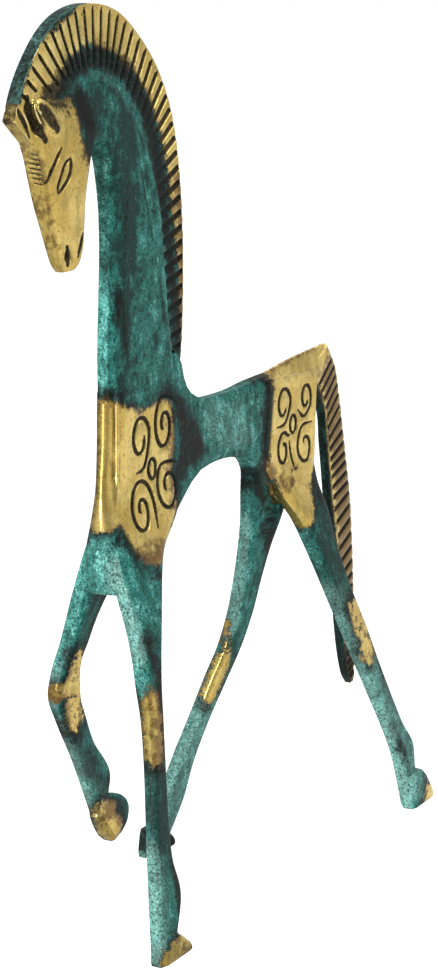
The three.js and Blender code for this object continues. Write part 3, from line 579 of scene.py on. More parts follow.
def graver_tree():
    """Presses the surface inwards near the nearest line, and adds to the groove mark there."""
    tree = bpy.data.node_groups.new("graver", "GeometryNodeTree")
    face = tree.interface
    face.new_socket("Geometry", in_out="INPUT", socket_type="NodeSocketGeometry")
    face.new_socket("Lines", in_out="INPUT", socket_type="NodeSocketObject")
    face.new_socket("Flatten", in_out="INPUT", socket_type="NodeSocketVector")
    face.new_socket("Facing", in_out="INPUT", socket_type="NodeSocketVector")
    face.new_socket("Geometry", in_out="OUTPUT", socket_type="NodeSocketGeometry")
    nodes, link = tree.nodes, tree.links.new
    given, result = nodes.new("NodeGroupInput"), nodes.new("NodeGroupOutput")
    info = nodes.new("GeometryNodeObjectInfo")
    link(given.outputs["Lines"], info.inputs["Object"])

    def vector(operation, a, b):
        node = nodes.new("ShaderNodeVectorMath")
        node.operation = operation
        link(a, node.inputs[0])
        link(b, node.inputs["Scale"] if operation == "SCALE" else node.inputs[1])
        return node.outputs["Value" if operation in ("DISTANCE", "DOT_PRODUCT") else "Vector"]

    def number(operation, *values):
        node = nodes.new("ShaderNodeMath")
        node.operation = operation
        for socket, value in zip(node.inputs, values):
            if isinstance(value, float):
                socket.default_value = value
            else:
                link(value, socket)
        return node.outputs[0]

    def falling(value, start, end):
        """1 up to the start, 0 from the end on."""
        node = nodes.new("ShaderNodeMapRange")
        node.interpolation_type = "SMOOTHSTEP"
        link(value, node.inputs["Value"])
        for key, edge in (("From Min", start), ("From Max", end)):
            if isinstance(edge, float):
                node.inputs[key].default_value = edge
            else:
                link(edge, node.inputs[key])
        node.inputs["To Min"].default_value = 1
        node.inputs["To Max"].default_value = 0
        return node.outputs["Result"]

    def named(key):
        node = nodes.new("GeometryNodeInputNamedAttribute")
        node.data_type = "FLOAT"
        node.inputs["Name"].default_value = key
        return node.outputs["Attribute"]

    place = nodes.new("GeometryNodeInputPosition").outputs[0]
    normal = nodes.new("GeometryNodeInputNormal").outputs[0]
    flat_place = vector("MULTIPLY", place, given.outputs["Flatten"])
    nearest = nodes.new("GeometryNodeSampleNearest")
    nearest.domain = "POINT"
    link(info.outputs["Geometry"], nearest.inputs["Geometry"])
    link(flat_place, nearest.inputs["Sample Position"])

    def on_line(kind, source):
        node = nodes.new("GeometryNodeSampleIndex")
        node.data_type = kind
        node.domain = "POINT"
        link(info.outputs["Geometry"], node.inputs["Geometry"])
        link(source, node.inputs["Value"])
        link(nearest.outputs["Index"], node.inputs["Index"])
        return node.outputs["Value"]

    away = vector("DISTANCE", flat_place, on_line("FLOAT_VECTOR", place))
    depth = on_line("FLOAT", named("depth"))
    near = falling(away, 0.0, on_line("FLOAT", named("half_width")))
    turned = number("ABSOLUTE", vector("DOT_PRODUCT", normal, given.outputs["Facing"]))
    cut = number("MULTIPLY", near, number("SUBTRACT", 1.0, falling(turned, SLIPS_OFF, BITES)))
    push = vector("SCALE", normal, number("MULTIPLY", number("MULTIPLY", cut, depth), -1.0))
    mark = number("MAXIMUM", cut, named("groove"))
    store = nodes.new("GeometryNodeStoreNamedAttribute")
    store.data_type = "FLOAT"
    store.domain = "POINT"
    store.inputs["Name"].default_value = "groove"
    link(given.outputs["Geometry"], store.inputs["Geometry"])
    link(mark, store.inputs["Value"])
    move = nodes.new("GeometryNodeSetPosition")
    link(store.outputs["Geometry"], move.inputs["Geometry"])
    link(push, move.inputs["Offset"])
    link(move.outputs["Geometry"], result.inputs["Geometry"])
    return tree


graver = graver_tree()
graver_keys = {item.name: item.identifier for item in graver.interface.items_tree if item.in_out == "INPUT"}
for name, cuts, flatten, facing in (
    ("flank_lines", flank_cuts, FLAT_TO_FLANK, (1.0, 0.0, 0.0)),
    ("ear_lines", ear_cuts, FLAT_TO_FLANK, (1.0, 0.0, 0.0)),
    ("face_lines", face_cuts, FLAT_TO_FACE, (0.0, 1.0, 0.0)),
):
    lines = cut_lines(name, cuts, flatten)
    tool = horse.modifiers.new(name, "NODES")
    tool.node_group = graver
    tool[graver_keys["Lines"]] = lines
    tool[graver_keys["Flatten"]] = tuple(flatten)
    tool[graver_keys["Facing"]] = facing
    baked(horse)
    bpy.data.objects.remove(lines)


def mesh_array(collection, key, width=1, kind=float):
    values = np.empty(len(collection) * width, kind)
    collection.foreach_get(key, values)
    return values.reshape(-1, width) if width > 1 else values


def add_mask(name, values):
    mask = horse.data.attributes.new(name, "FLOAT", "POINT")
    mask.data.foreach_set("value", values.astype(np.float32))


# How far a point stands out of its neighbours: above nothing on an edge, below in a hollow
EDGE_SPREAD = 5
SHARP_EDGE = 550.0
points = mesh_array(horse.data.vertices, "co", 3)
normals = mesh_array(horse.data.vertices, "normal", 3)
edges = mesh_array(horse.data.edges, "vertices", 2, np.int64)
pairs = np.concatenate([edges, edges[:, ::-1]])
shared = np.bincount(pairs[:, 0], minlength=len(points))


def neighbours(values):
    """The mean of each point's neighbours."""
    return np.bincount(pairs[:, 0], weights=values[pairs[:, 1]], minlength=len(points)) / shared


around = np.column_stack([neighbours(points[:, k]) for k in range(3)])
stands_out = np.einsum("ij,ij->i", points - around, normals) / GRAIN**2
for _ in range(EDGE_SPREAD):
    stands_out = (stands_out + neighbours(stands_out)) / 2
add_mask("edge", np.clip(stands_out / SHARP_EDGE, -1, 1))

# The fine mesh is thinned where it is flat, which keeps the cut lines and the edges
FACES_KEPT = 194000
thin = horse.modifiers.new("thin", "DECIMATE")
thin.ratio = FACES_KEPT / (2 * len(horse.data.polygons))
baked(horse)

# The finish
# Turquoise verdigris was laid on and fixed, then rubbed back to bright metal on the high and
# handled places. Beside them the patina is burnt dark, and it stays dark in the cut lines. Light and
# shade are painted in too: highlights on the edges and in pale crystals, shade in the hollows and on
# the inner sides of the legs, and light on the front faces and lower legs.

points = (mesh_array(horse.data.vertices, "co", 3) - SHIFT) / HEIGHT
normals = mesh_array(horse.data.vertices, "normal", 3)
FAR = 9.0


def rising(values, start, end):
    """Goes smoothly from 0 at the start to 1 at the end."""
    t = np.clip((values - start) / (end - start), 0, 1)
    return t * t * (3 - 2 * t)


def inside(outline):
    """How far each point lies within an outline of [y, z] seen from the side."""
    shape = np.array(outline)
    flank = points[:, 1:]
    nearest = np.full(len(points), FAR)
    within = np.zeros(len(points), bool)
    for a, b in zip(shape, np.roll(shape, -1, axis=0)):
        share = np.clip(((flank - a) @ (b - a)) / ((b - a) @ (b - a)), 0, 1)
        nearest = np.minimum(nearest, np.linalg.norm(flank - a - share[:, None] * (b - a), axis=1))
        crosses = (a[1] > flank[:, 1]) != (b[1] > flank[:, 1])
        rise = b[1] - a[1] if b[1] != a[1] else 1e-9
        within ^= crosses & (flank[:, 0] < (b[0] - a[0]) * (flank[:, 1] - a[1]) / rise + a[0])
    return np.where(within, nearest, -nearest)


def along(stops, radius):
    """How far each point lies within a bar about the stops, which are [y, z] or [x, y, z]."""
    stops = np.array(stops)
    place = points[:, 3 - stops.shape[1]:]
    nearest = np.full(len(points), FAR)
    for a, b in zip(stops, stops[1:]):
        share = np.clip(((place - a) @ (b - a)) / ((b - a) @ (b - a)), 0, 1)
        nearest = np.minimum(nearest, np.linalg.norm(place - a - share[:, None] * (b - a), axis=1))
    return radius - nearest


def deepest(*zones):
    return np.maximum.reduce(zones)


def within_bars(bars):
    """How far each point lies within the nearest of several bars, each given as (stops, radius)."""
    return deepest(*[along(stops, radius) for stops, radius in bars])


# How much a point faces sideways and forward, from 0 to 1
sideways = rising(np.abs(normals[:, 0]), 0.45, 0.75)
forward = rising(-normals[:, 1], 0.35, 0.7)

# Rubbed bright
HEAD_BRIGHT = [
    (-0.402, 0.905), (-0.366, 0.915), (-0.325, 0.910), (-0.2985, 0.9075), (-0.292, 0.872), (-0.276, 0.850),
    (-0.255, 0.830), (-0.255, 0.730), (-0.350, 0.730), (-0.402, 0.860),
]
CREST_BRIGHT = [
    (-0.402, 0.885), (-0.360, 0.960), (-0.262, 1.01), (-0.170, 0.985), (-0.115, 0.920), (-0.085, 0.840),
    (-0.078, 0.740), (-0.082, 0.630), (-0.098, 0.646), (-0.1035, 0.735), (-0.119, 0.819), (-0.136, 0.8715),
    (-0.158, 0.905), (-0.186, 0.931), (-0.224, 0.951), (-0.267, 0.959), (-0.299, 0.948), (-0.321, 0.917),
    (-0.360, 0.880),
]
CHEST_BRIGHT = [
    (-0.270, 0.604), (-0.237, 0.604), (-0.218, 0.594), (-0.189, 0.582), (-0.169, 0.587), (-0.149, 0.591),
    (-0.124, 0.585), (-0.118, 0.552), (-0.125, 0.509), (-0.117, 0.474), (-0.125, 0.445), (-0.140, 0.413),
    (-0.214, 0.418), (-0.224, 0.445), (-0.235, 0.470), (-0.270, 0.455),
]
HAUNCH_BRIGHT = [
    (0.080, 0.620), (0.290, 0.620), (0.262, 0.587), (0.222, 0.572), (0.219, 0.462), (0.196, 0.450),
    (0.187, 0.430), (0.179, 0.408), (0.165, 0.392), (0.150, 0.388), (0.132, 0.408), (0.118, 0.436),
    (0.110, 0.450), (0.080, 0.474), (0.095, 0.505), (0.1016, 0.560), (0.086, 0.583),
]
TAIL_BRIGHT = [
    (0.226, 0.620), (0.300, 0.560), (0.345, 0.400), (0.352, 0.130), (0.318, 0.130), (0.290, 0.290),
    (0.264, 0.420), (0.243, 0.520), (0.214, 0.560),
]
LEGS_BRIGHT = [
    ([(-0.034, -0.240, 0.320), (-0.037, -0.243, 0.300), (-0.039, -0.240, 0.266), (-0.043, -0.231, 0.246)],
     0.0140),
    ([(-0.038, -0.246, 0.296), (-0.046, -0.268, 0.287)], 0.0120),
    ([(-0.047, -0.168, 0.122), (-0.047, -0.150, 0.096)], 0.0190),
    ([(0.064, -0.240, 0.282), (0.064, -0.240, 0.235)], 0.0195),
    ([(0.082, -0.246, 0.006), (0.082, -0.212, 0.012)], 0.0160),
    ([(-0.049, 0.099, 0.272), (-0.048, 0.097, 0.246)], 0.0065),
    ([(-0.046, 0.090, 0.226), (-0.052, 0.074, 0.194)], 0.0160),
    ([(0.058, 0.234, 0.276), (0.064, 0.247, 0.240), (0.068, 0.255, 0.214)], 0.0155),
    ([(0.108, 0.345, 0.010), (0.108, 0.366, 0.002)], 0.0180),
]
# The legs are rubbed less, so the edges of their patches wander more
LEG_RUB = 0.65
BACK_OF_CREST_Y, FOOT_OF_CREST_Z = -0.262, 0.62
FORK_Z = 0.46
TAIL_REACH_X, TAIL_ROOT_Z, TAIL_ROOT_FADE = 0.012, 0.56, 0.02
# Taken off where the metal was never rubbed: the crest's front rim, inner thighs and tail front
OUTSIDE = 0.03
front_rim = (1 - sideways) * (points[:, 1] < BACK_OF_CREST_Y)
inner_face = rising(-normals[:, 0] * np.sign(points[:, 0]), 0.1, 0.4) * (points[:, 2] < FORK_Z)
tail_front_face = forward * rising(TAIL_ROOT_Z - points[:, 2], 0, TAIL_ROOT_FADE)
crest_bright = inside(CREST_BRIGHT) - OUTSIDE * front_rim
tail_bright = inside(TAIL_BRIGHT) - OUTSIDE * tail_front_face
rubbed = deepest(
    inside(HEAD_BRIGHT),
    np.where(points[:, 2] > FOOT_OF_CREST_Z, crest_bright, -1),
    inside(CHEST_BRIGHT),
    inside(HAUNCH_BRIGHT) - OUTSIDE * inner_face,
    np.where(np.abs(points[:, 0]) < TAIL_REACH_X, tail_bright, -1),
    LEG_RUB * within_bars(LEGS_BRIGHT),
)

# Burnt dark: the arch inside the comb, the throat, streaks on the neck, the edges of the chest and
# haunch, the front and tip of the tail, a hoof and the crest's front rim. On the inner sides of the
# legs the same dark is painted shade.
BURNT_AND_SHADE = [
    ([(-0.336, 0.914), (-0.321, 0.922), (-0.304, 0.936), (-0.258, 0.950), (-0.206, 0.936), (-0.167, 0.899),
      (-0.146, 0.851), (-0.134, 0.800)], 0.0125),
    ([(-0.352, 0.914), (-0.326, 0.906), (-0.308, 0.898)], 0.0060),
    ([(-0.293, 0.907), (-0.283, 0.895), (-0.276, 0.883), (-0.276, 0.868), (-0.279, 0.856)], 0.0115),
    ([(-0.222, 0.893), (-0.213, 0.880), (-0.211, 0.870)], 0.0070),
    ([(-0.210, 0.837), (-0.207, 0.814), (-0.207, 0.789), (-0.209, 0.764), (-0.204, 0.738)], 0.0050),
    ([(-0.229, 0.715), (-0.222, 0.693), (-0.218, 0.672), (-0.211, 0.651)], 0.0055),
    ([(-0.168, 0.6715), (-0.148, 0.6695)], 0.0050),
    ([(-0.242, 0.608), (-0.2235, 0.603), (-0.208, 0.5965), (-0.189, 0.591), (-0.169, 0.5935),
      (-0.1485, 0.597), (-0.124, 0.595), (-0.107, 0.586)], 0.0075),
    ([(-0.138, 0.821), (-0.130, 0.799), (-0.118, 0.746), (-0.110, 0.703), (-0.106, 0.670), (-0.102, 0.635)],
     0.0085),
    ([(-0.112, 0.585), (-0.103, 0.560), (-0.106, 0.538), (-0.102, 0.5195), (-0.110, 0.500)], 0.0120),
    ([(-0.110, 0.500), (-0.112, 0.473), (-0.122, 0.452), (-0.136, 0.440), (-0.142, 0.420)], 0.0065),
    ([(-0.085, 0.557), (-0.070, 0.538), (-0.0635, 0.520), (-0.0786, 0.5095)], 0.0080),
    ([(0.054, 0.5586), (0.068, 0.533), (0.080, 0.508)], 0.0030),
    ([(0.066, 0.584), (0.085, 0.586), (0.096, 0.570), (0.089, 0.5415), (0.085, 0.513), (0.088, 0.488),
      (0.074, 0.470)], 0.0098),
    ([(0.066, 0.460), (0.094, 0.444), (0.112, 0.425), (0.128, 0.392), (0.146, 0.380)], 0.0080),
    ([(0.1435, 0.4526), (0.1611, 0.4579)], 0.0050),
    ([(0.205, 0.440), (0.196, 0.412), (0.185, 0.392)], 0.0080),
    ([(-0.246, 0.452), (-0.235, 0.464), (-0.224, 0.438), (-0.214, 0.412), (-0.142, 0.404)], 0.0045),
    ([(-0.012, -0.196, 0.400), (-0.022, -0.208, 0.360), (-0.030, -0.218, 0.325)], 0.0145),
    ([(-0.052, -0.264, 0.262), (-0.054, -0.246, 0.240)], 0.0065),
    ([(-0.048, -0.160, 0.160), (-0.048, -0.158, 0.142)], 0.0085),
    ([(0.226, 0.546), (0.243, 0.515), (0.257, 0.437), (0.264, 0.398), (0.279, 0.345), (0.287, 0.290),
      (0.305, 0.195), (0.327, 0.150)], 0.0065),
    ([(0.314, 0.262), (0.325, 0.200), (0.332, 0.160)], 0.0110),
    ([(-0.104, 0.004, 0.026), (-0.108, 0.020, 0.010), (-0.108, 0.050, 0.008)], 0.0200),
    ([(0.050, -0.232, 0.350), (0.058, -0.226, 0.310), (0.062, -0.222, 0.290)], 0.0090),
    ([(0.066, -0.226, 0.290), (0.068, -0.222, 0.200)], 0.0060),
    ([(0.044, -0.248, 0.300), (0.047, -0.246, 0.215)], 0.0055),
    ([(0.074, -0.214, 0.105), (0.078, -0.212, 0.055)], 0.0100),
    ([(-0.004, 0.120, 0.400), (-0.012, 0.145, 0.370)], 0.0150),
    ([(-0.024, 0.146, 0.320), (-0.034, 0.140, 0.280)], 0.0070),
    ([(-0.044, 0.128, 0.245), (-0.070, 0.076, 0.140)], 0.0060),
    ([(0.074, 0.272, 0.226), (0.078, 0.285, 0.180)], 0.0080),
    ([(0.088, 0.300, 0.095), (0.095, 0.318, 0.040)], 0.0060),
]
RIM_DARK = 0.0042
RIM_MIDDLE_HALF, RIM_MIDDLE_FADE, RIM_MIDDLE_CLEAR = 0.0055, 0.003, 0.02
rim_edges = along(crest_rim[::RIM_POINTS_PER_STOP], RIM_DARK) - OUTSIDE * (1 - front_rim)
rim_edges -= RIM_MIDDLE_CLEAR * rising(RIM_MIDDLE_HALF - np.abs(points[:, 0]), 0, RIM_MIDDLE_FADE)
burnt = deepest(rim_edges, within_bars(BURNT_AND_SHADE))

# Browned metal, where the rubbing was lighter
BROWNED = [
    ([(-0.100, 0.820), (-0.092, 0.735), (-0.096, 0.650)], 0.0140),
    ([(-0.124, 0.575), (-0.128, 0.510), (-0.124, 0.460), (-0.142, 0.420)], 0.0120),
    ([(-0.150, 0.425), (-0.215, 0.430)], 0.0160),
    ([(0.092, 0.480), (0.101, 0.4626), (0.126, 0.448), (0.161, 0.446)], 0.0110),
    ([(0.080, 0.585), (0.150, 0.593), (0.256, 0.606)], 0.0110),
    ([(0.256, 0.560), (0.295, 0.440), (0.315, 0.300), (0.330, 0.150)], 0.0260),
    ([(-0.040, -0.256, 0.312), (-0.046, -0.264, 0.287), (-0.050, -0.244, 0.254)], 0.0105),
    ([(-0.050, -0.156, 0.124), (-0.050, -0.130, 0.108)], 0.0230),
    ([(-0.0100, -0.393, 0.890), (-0.0115, -0.368, 0.870), (-0.0115, -0.348, 0.811), (-0.0090, -0.329, 0.760)],
     0.0085),
    ([(0.0080, -0.363, 0.862), (0.0080, -0.347, 0.811), (0.0060, -0.329, 0.762)], 0.0040),
    ([(-0.0090, -0.239, 0.600), (-0.0095, -0.245, 0.508), (-0.0160, -0.250, 0.460)], 0.0105),
    ([(0.075, -0.245, 0.012), (0.090, -0.200, 0.004)], 0.0090),
    ([(0.062, -0.222, 0.285), (0.062, -0.222, 0.215)], 0.0260),
]
browned = within_bars(BROWNED)

# Paler, chalkier patina on the waist and the lower legs, where it is partly painted light from below, and
# painted light on the faces that look forward, as if lit by the low front lamp
PALER = [
    ([(-0.030, 0.545), (0.040, 0.530)], 0.0350),
    ([(0.018, -0.240, 0.425), (0.048, -0.240, 0.340)], 0.0150),
    ([(0.066, -0.250, 0.115), (0.073, -0.250, 0.010)], 0.0240),
    ([(-0.050, -0.250, 0.240), (-0.056, -0.165, 0.130)], 0.0200),
    ([(-0.020, 0.090, 0.400), (-0.045, 0.105, 0.270)], 0.0160),
    ([(-0.056, 0.085, 0.200), (-0.100, 0.020, 0.020)], 0.0330),
    ([(0.045, 0.210, 0.290), (0.072, 0.268, 0.190), (0.100, 0.330, 0.020)], 0.0330),
]
PALER_START, PALER_END = -0.01, 0.02
ZONE_PALE, FRONT_PAINTED_LIGHT, RIM_PALE = 0.65, 0.45, 0.3
paler = rising(within_bars(PALER), PALER_START, PALER_END)
# The forward share is painted light on the faces turned to the front lamp
pale = ZONE_PALE * paler + FRONT_PAINTED_LIGHT * forward + RIM_PALE * front_rim

# Stained dark under the verdigris, with soft edges
STAINED = [
    ([(-0.223, 0.856), (-0.216, 0.805), (-0.2115, 0.744), (-0.2105, 0.682), (-0.217, 0.620)], 0.0150),
    ([(-0.285, 0.900), (-0.250, 0.905), (-0.222, 0.890), (-0.203, 0.865)], 0.0240),
    ([(-0.172, 0.671), (-0.142, 0.671)], 0.0080),
    ([(0.058, -0.238, 0.350), (0.062, -0.222, 0.294)], 0.0130),
    ([(0.064, -0.236, 0.200), (0.068, -0.230, 0.110)], 0.0200),
    ([(0.006, 0.190, 0.450), (0.030, 0.205, 0.350), (0.048, 0.232, 0.285)], 0.0330),
    ([(0.078, 0.290, 0.190), (0.086, 0.300, 0.110)], 0.0110),
    ([(-0.008, 0.140, 0.430), (-0.030, 0.142, 0.330)], 0.0160),
    ([(-0.052, -0.240, 0.235), (-0.050, -0.180, 0.160)], 0.0170),
    ([(-0.090, 0.560), (-0.070, 0.520)], 0.0200),
]
stained = within_bars(STAINED)

MILLIMETRES = HEIGHT * 1000
for name, values in (
    ("rubbed", rubbed * MILLIMETRES),
    ("burnt", burnt * MILLIMETRES),
    ("browned", browned * MILLIMETRES),
    ("stained", stained * MILLIMETRES),
    ("pale", pale),
):
    add_mask(name, values)


class Finish:
    """Adds the nodes of one material: each method returns the socket that carries its value."""

    def __init__(self, name):
        self.material = bpy.data.materials.new(name)
        self.material.use_nodes = True
        self.nodes = self.material.node_tree.nodes
        self.link = self.material.node_tree.links.new
        self.shader = self.nodes["Principled BSDF"]
        self.where = self.nodes.new("ShaderNodeTexCoord").outputs["Object"]

    def feed(self, socket, value):
        if isinstance(value, (int, float)):
            socket.default_value = value
        elif isinstance(value, tuple):
            socket.default_value = (*value, 1)
        else:
            self.link(value, socket)

    def mask(self, name):
        node = self.nodes.new("ShaderNodeAttribute")
        node.attribute_name = name
        return node.outputs["Fac"]

    def placed(self, size, stretch):
        """Coordinates in units of the given size in metres, drawn out along z by the stretch."""
        node = self.nodes.new("ShaderNodeMapping")
        node.inputs["Scale"].default_value = (1 / size, 1 / size, 1 / (size * stretch))
        self.link(self.where, node.inputs["Vector"])
        return node.outputs["Vector"]

    def cloud(self, size, detail=3, roughness=0.6, stretch=1):
        node = self.nodes.new("ShaderNodeTexNoise")
        node.inputs["Scale"].default_value = 1
        node.inputs["Detail"].default_value = detail
        node.inputs["Roughness"].default_value = roughness
        self.link(self.placed(size, stretch), node.inputs["Vector"])
        return node.outputs["Fac"]

    def maths(self, operation, *values):
        node = self.nodes.new("ShaderNodeMath")
        node.operation = operation
        for socket, value in zip(node.inputs, values):
            self.feed(socket, value)
        return node.outputs[0]

    def ramp(self, value, start, end, first=0.0, last=1.0):
        """Goes smoothly from the first number to the last while the value goes from start to end."""
        node = self.nodes.new("ShaderNodeMapRange")
        node.interpolation_type = "SMOOTHSTEP"
        for key, number in zip(("Value", "From Min", "From Max", "To Min", "To Max"),
                               (value, start, end, first, last)):
            self.feed(node.inputs[key], number)
        return node.outputs["Result"]

    def blend(self, share, first, second):
        """Mixes two colours: the share is the second one's."""
        node = self.nodes.new("ShaderNodeMix")
        node.data_type = "RGBA"
        self.feed(node.inputs["Factor"], share)
        colours = [socket for socket in node.inputs if socket.type == "RGBA"]
        self.feed(colours[0], first)
        self.feed(colours[1], second)
        return next(socket for socket in node.outputs if socket.type == "RGBA")


GOLD = (0.58, 0.41, 0.105)
PALE_GOLD = (0.74, 0.56, 0.18)
OLIVE_GOLD = (0.36, 0.29, 0.09)
SPECK_BROWN = (0.26, 0.17, 0.055)
BROWN = (0.165, 0.095, 0.038)
# The polish laid on convex edges is wear and also a painted highlight
POLISH_AND_HIGHLIGHT = (0.9, 0.77, 0.42)
DEEP_GREEN = (0.003, 0.034, 0.029)
SEA_GREEN = (0.024, 0.18, 0.15)
TURQUOISE = (0.12, 0.47, 0.42)
# Chalk is the pale patina and also the painted light on the front faces
CHALK_AND_LIGHT = (0.27, 0.36, 0.32)
STAIN = (0.015, 0.045, 0.034)
BLOTCH = (0.015, 0.043, 0.034)
GRIT = (0.005, 0.02, 0.018)
PIT = (0.008, 0.026, 0.024)
# Pale crystals, also used as painted glints
PALE_GRAIN_AND_GLINT = (0.48, 0.76, 0.66)
# Worn green, also used as a painted highlight on the edges
WORN_GREEN_AND_HIGHLIGHT = (0.34, 0.48, 0.38)
# The near-black of burnt patina and cut lines, also used as painted shade in the hollows and on the inner
# sides of the legs
SOOT_AND_SHADE = (0.0045, 0.0045, 0.003)
CRUST_HEIGHT = 0.00025


def bright_metal(finish, cloud, middle, fine, streaks, depth):
    """Rubbed metal: darker and browner near the patina, with specks, and a polish on the edges that is also a
    painted highlight.
    """
    browned = finish.maths("ADD", finish.mask("browned"), finish.ramp(middle, 0.35, 0.65, -2.2, 2.2))
    colour = finish.blend(finish.ramp(cloud, 0.38, 0.62), GOLD, PALE_GOLD)
    for pattern, start, end, most, laid_on in (
        (streaks, 0.50, 0.66, 0.65, OLIVE_GOLD),
        (fine, 0.54, 0.68, 0.75, SPECK_BROWN),
        (browned, -1.0, 4.0, 0.9, BROWN),
        (depth, 1.5, 0.1, 1.0, BROWN),
        (finish.mask("edge"), 0.3, 0.8, 1.0, POLISH_AND_HIGHLIGHT),
    ):
        colour = finish.blend(finish.ramp(pattern, start, end, 0, most), colour, laid_on)
    return colour


def verdigris(finish, cloud, middle, fine, streaks):
    """Deep green-blue to chalky turquoise, with stains, dark pits and pale crystals, and painted light: paler
    on the front faces and lower legs, and the pale crystals are also painted glints.
    """
    pale = finish.mask("pale")
    patches = finish.maths("SUBTRACT", cloud, 0.5)
    stained = finish.ramp(finish.maths("MULTIPLY_ADD", patches, 14.0, finish.mask("stained")), -3.0, 4.0)
    tone = finish.maths("MULTIPLY", middle, 0.45)
    for pattern, weight in ((streaks, 0.55), (pale, 0.12), (stained, -0.12)):
        tone = finish.maths("MULTIPLY_ADD", pattern, weight, tone)
    # Pale crystals in the patina, which also stand in for glints: painted highlight
    grit = finish.cloud(0.0008, detail=2, roughness=0.75)
    grains_and_glints = finish.maths("MULTIPLY", finish.ramp(grit, 0.59, 0.72), finish.ramp(tone, 0.46, 0.64, 0.1, 1))
    colour = finish.blend(finish.ramp(tone, 0.38, 0.52), DEEP_GREEN, SEA_GREEN)
    for share, laid_on in (
        (finish.ramp(tone, 0.52, 0.68), TURQUOISE),
        (finish.ramp(pale, 0.3, 0.9, 0, 0.42), CHALK_AND_LIGHT),
        (finish.maths("MULTIPLY", stained, 0.4), STAIN),
        (finish.ramp(cloud, 0.54, 0.72, 0, 0.45), BLOTCH),
        (finish.ramp(grit, 0.48, 0.36, 0, 0.9), GRIT),
        (grains_and_glints, PALE_GRAIN_AND_GLINT),
        (finish.ramp(fine, 0.50, 0.36, 0, 0.5), PIT),
    ):
        colour = finish.blend(share, colour, laid_on)
    return colour


def aged_bronze():
    finish = Finish("aged_bronze")
    # Blotches of 12 mm, mottling of 3.5 mm, specks of 1 mm, and streaks of 4 mm that run downwards
    cloud = finish.cloud(0.012)
    middle = finish.cloud(0.0035, detail=4, roughness=0.65)
    fine = finish.cloud(0.0011, roughness=0.7)
    streaks = finish.cloud(0.0042, detail=5, roughness=0.68, stretch=2.4)

    # The zone masks are in millimetres, and their edges wander by a millimetre or two
    wander = finish.maths("MULTIPLY", finish.maths("SUBTRACT", middle, 0.5), 7.5)
    wander = finish.maths("MULTIPLY_ADD", finish.maths("SUBTRACT", fine, 0.5), 4.5, wander)
    depth = finish.maths("ADD", finish.mask("rubbed"), wander)
    bare = finish.ramp(depth, -0.7, 0.8)

    # Dark: the burnt zones, which are painted shade on the inner sides of the legs, a broken line beside
    # the bare metal, painted shade on top of the dark patina in the hollows, and the cut lines
    dark = finish.ramp(finish.maths("MULTIPLY_ADD", wander, 1.3, finish.mask("burnt")), -1.4, 1.6)
    beside = finish.maths("MULTIPLY", finish.ramp(depth, -3.2, -0.9), finish.ramp(bare, 1, 0, 0, 1))
    beside = finish.maths("MULTIPLY", beside, finish.ramp(cloud, 0.40, 0.56, 0.25, 0.9))
    hollow_shade = finish.ramp(finish.mask("edge"), -0.12, -0.45, 0, 0.9)
    for other in (beside, hollow_shade, finish.ramp(finish.mask("groove"), 0.08, 0.45)):
        dark = finish.maths("MAXIMUM", dark, other)
    dark = finish.maths("MULTIPLY", dark, finish.ramp(fine, 0.35, 0.75, 1.0, 0.82))

    gold = bright_metal(finish, cloud, middle, fine, streaks, depth)
    green = verdigris(finish, cloud, middle, fine, streaks)
    # Worn paler green on the convex edges, which is also a painted highlight
    green = finish.blend(finish.ramp(finish.mask("edge"), 0.3, 0.9, 0, 0.5), green, WORN_GREEN_AND_HIGHLIGHT)
    colour = finish.blend(bare, green, gold)
    finish.feed(finish.shader.inputs["Base Color"], finish.blend(dark, colour, SOOT_AND_SHADE))

    open_metal = finish.maths("MULTIPLY", bare, finish.ramp(dark, 0.1, 0.7, 1, 0.1))
    finish.feed(finish.shader.inputs["Metallic"], open_metal)
    smoothest = finish.ramp(open_metal, 0, 1, 0.42, 0.24)
    roughest = finish.ramp(open_metal, 0, 1, 0.68, 0.36)
    finish.feed(finish.shader.inputs["Roughness"], finish.ramp(fine, 0.3, 0.7, smoothest, roughest))
    finish.feed(finish.shader.inputs["Coat Weight"], finish.ramp(open_metal, 0, 1, 0.06, 0))
    finish.shader.inputs["Coat Roughness"].default_value = 0.25
    finish.shader.inputs["Specular IOR Level"].default_value = 0.10

    crust = finish.maths("MULTIPLY_ADD", fine, 0.8, middle)
    crust = finish.maths("MULTIPLY", crust, finish.ramp(open_metal, 0, 1, 1, 0.1))
    bump = finish.nodes.new("ShaderNodeBump")
    bump.inputs["Distance"].default_value = CRUST_HEIGHT
    finish.feed(bump.inputs["Height"], crust)
    finish.feed(finish.shader.inputs["Normal"], bump.outputs["Normal"])
    return finish.material


horse.data.materials.clear()
horse.data.materials.append(aged_bronze())
horse.data.shade_smooth()
horse.name = "horse_casting"
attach(horse, "root")
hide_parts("horse")

# The studio
# A plain pale floor with no edge in sight, a soft light low in front that picks out the front
# faces and the bead, weak ones beside and behind, and a camera three-quarters from the front.

FLOOR_HALF = 60.0
corners = [(-1, -1), (1, -1), (1, 1), (-1, 1)]
floor = mesh_object("floor", [(x * FLOOR_HALF, y * FLOOR_HALF, 0) for x, y in corners], [(0, 1, 2, 3)])
floor_paint = bpy.data.materials.new("floor_paint")
floor_paint.use_nodes = True
floor_shader = floor_paint.node_tree.nodes["Principled BSDF"]
floor_shader.inputs["Base Color"].default_value = (0.50, 0.50, 0.49, 1)
floor_shader.inputs["Roughness"].default_value = 0.9
floor_shader.inputs["Specular IOR Level"].default_value = 0.1
floor_shader.inputs["Emission Color"].default_value = (1, 1, 1, 1)
AIM_HEIGHT = 0.46794
AIM = Vector((SHIFT[0], SHIFT[1], SHIFT[2] + AIM_HEIGHT * HEIGHT))


